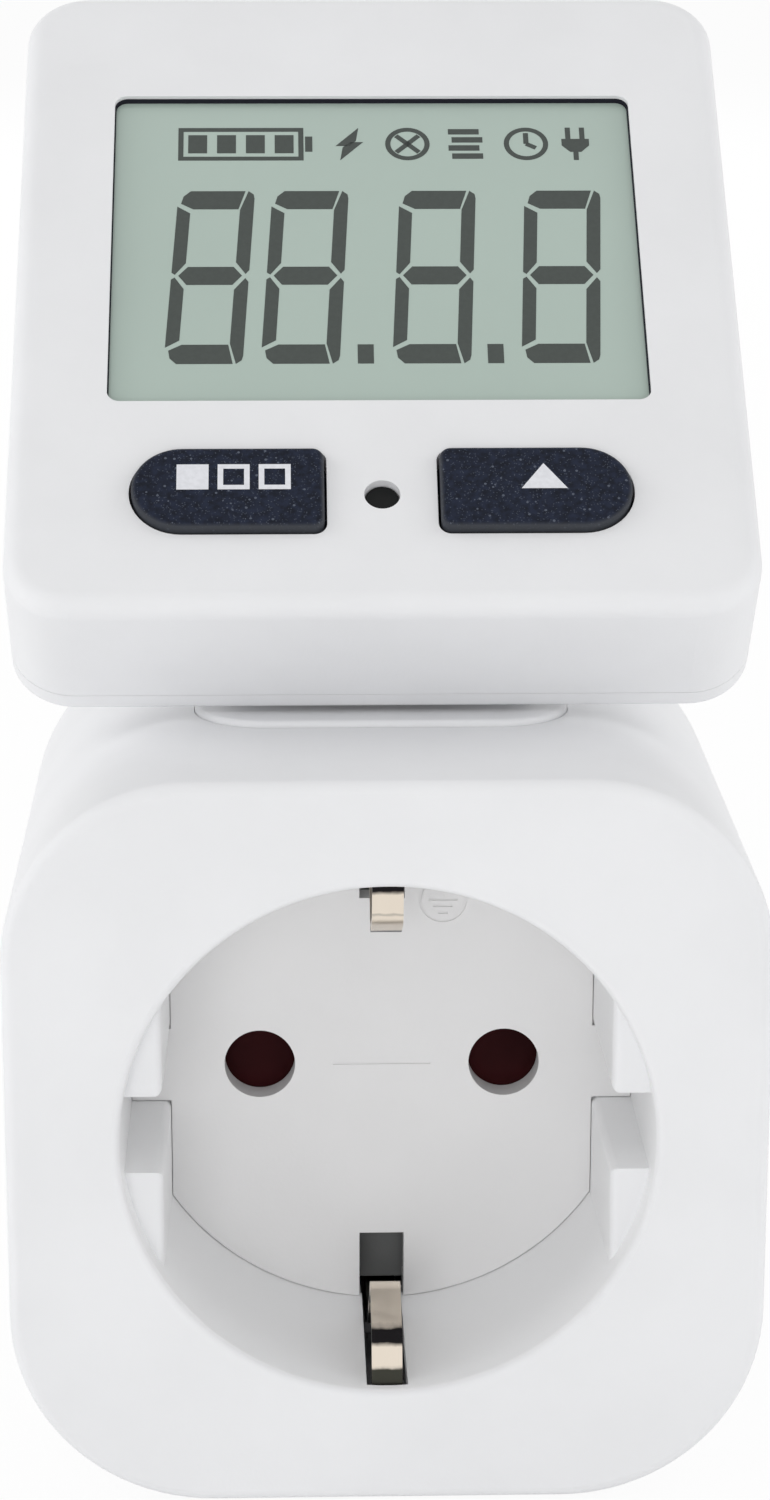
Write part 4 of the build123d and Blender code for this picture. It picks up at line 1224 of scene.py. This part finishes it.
@dataclass(frozen=True)
class PhotoCamera:
    """The camera where the photograph was taken from, with its angles in degrees."""

    place: Place = (-0.0076, -0.31435, 0.09879)
    yaw: float = 1.664
    pitch: float = 15.286
    roll: float = 0.093
    focal_length: float = 87.89
    sensor_height: float = 36.0
    clip_start: float = 0.01

    def build(self) -> None:
        """Makes the camera and looks through it."""
        yaw, pitch, roll = radians(self.yaw), radians(self.pitch), radians(self.roll)
        ahead = Vector((sin(yaw) * cos(pitch), cos(yaw) * cos(pitch), -sin(pitch)))
        level = Vector((cos(yaw), -sin(yaw), 0.0))
        upright = level.cross(ahead)
        right = cos(roll) * level + sin(roll) * upright
        data = bpy.data.cameras.new("photo_camera")
        data.sensor_fit = "VERTICAL"
        data.sensor_height = self.sensor_height
        data.lens = self.focal_length
        data.clip_start = self.clip_start
        camera = bpy.data.objects.new("photo_camera", data)
        turn = Matrix((right, right.cross(ahead), -ahead)).transposed().to_4x4()
        camera.matrix_world = Matrix.Translation(self.place) @ turn
        bpy.context.scene.collection.objects.link(camera)
        bpy.context.scene.camera = camera


@dataclass
class Studio:
    """Plain white surroundings, soft lamps and the camera of the photograph."""

    lamps: Tuple[Lamp, ...] = (
        Lamp("front_lamp", (-0.1, -0.9, 0.1), 0.4, 2.1),
        Lamp("left_lamp", (-0.65, -0.65, 0.6), 0.6, 0.32),
        Lamp("right_lamp", (0.65, -0.65, 0.6), 0.6, 0.3),
        Lamp("left_side_lamp", (-1.0, 0.0, 0.45), 0.6, 3.3),
        Lamp("right_side_lamp", (1.0, 0.0, 0.45), 0.6, 2.6),
        Lamp("rear_lamp", (0.0, 0.9, 0.5), 0.6, 2.0),
    )
    world_level: float = 0.58
    floor_size: float = 6.0
    floor_gap: float = MM / 10
    floor_colour: Colour = (0.95, 0.95, 0.95)
    floor_roughness: float = 0.9
    floor_glow_share: float = 0.93

    def build(self) -> None:
        """Makes world, floor, lamps and camera, and sets the view transform."""
        self.build_world()
        self.build_floor()
        for lamp in self.lamps:
            lamp.build()
        PhotoCamera().build()
        bpy.context.scene.view_settings.view_transform = "Standard"

    def seen_directly(self, graph: Graph) -> Socket:
        """Marks the rays that see the surroundings directly.

        Args:
            graph: The graph of the world or the floor.

        Returns:
            A socket that is 1 for those rays.
        """
        path = graph.add("ShaderNodeLightPath").outputs
        result = path[Ray.CAMERA.value]
        for ray in (Ray.GLOSSY, Ray.TRANSMISSION):
            result = graph.math("MAXIMUM", result, path[ray.value])
        return result

    def blend(self, graph: Graph, share: Socket, lighting: Socket, seen: Socket,
              output: bpy.types.Node) -> None:
        """Shows one shader in a share of the other and links both to the output.

        Args:
            graph: The graph of the world or the floor.
            share: Socket of the share of the seen shader.
            lighting: Socket of the shader that lights the object.
            seen: Socket of the shader that is seen directly.
            output: The output node.
        """
        mix = graph.add("ShaderNodeMixShader", {"Fac": share, 1: lighting, 2: seen})
        graph.fill(output, {"Surface": mix.outputs["Shader"]})

    def build_world(self) -> None:
        """Makes a white world, seen at a strength of 1 and lighting at its own level."""
        world = bpy.data.worlds.new("white_room")
        bpy.context.scene.world = world
        world.use_nodes = True
        nodes = world.node_tree.nodes
        graph = Graph(world.node_tree)
        graph.fill(nodes["Background"], {"Color": WHITE, "Strength": self.world_level})
        seen = graph.add("ShaderNodeBackground", {"Color": WHITE, "Strength": 1.0})
        self.blend(graph, self.seen_directly(graph), nodes["Background"].outputs["Background"],
                   seen.outputs["Background"], nodes["World Output"])

    def build_floor(self) -> None:
        """Makes the white floor just under the body."""
        material = bpy.data.materials.new("floor_white")
        material.use_nodes = True
        nodes = material.node_tree.nodes
        graph = Graph(material.node_tree)
        shader = nodes["Principled BSDF"]
        graph.fill(shader, {"Base Color": tinted(self.floor_colour),
                            "Roughness": self.floor_roughness})
        glow = graph.add("ShaderNodeEmission")
        share = graph.math("MULTIPLY", self.seen_directly(graph), self.floor_glow_share)
        self.blend(graph, share, shader.outputs["BSDF"], glow.outputs["Emission"],
                   nodes["Material Output"])
        mesh = bmesh.new()
        level = Matrix.Translation((0.0, 0.0, CAD_BOX[0][2] - self.floor_gap))
        bmesh.ops.create_grid(mesh, x_segments=1, y_segments=1, size=self.floor_size / 2,
                              matrix=level)
        floor = place_mesh("floor", mesh, material)


def main() -> None:
    """Dresses the frame, builds the display and the prints, and sets the studio."""
    logging.basicConfig(level=logging.INFO, format="%(name)s: %(message)s")
    FrameDressing().dress()
    face = HeadFace.of_frame()
    Display(face).build()
    KeyPrints(face).build()
    Studio().build()


if __name__ == "__main__":
    main()
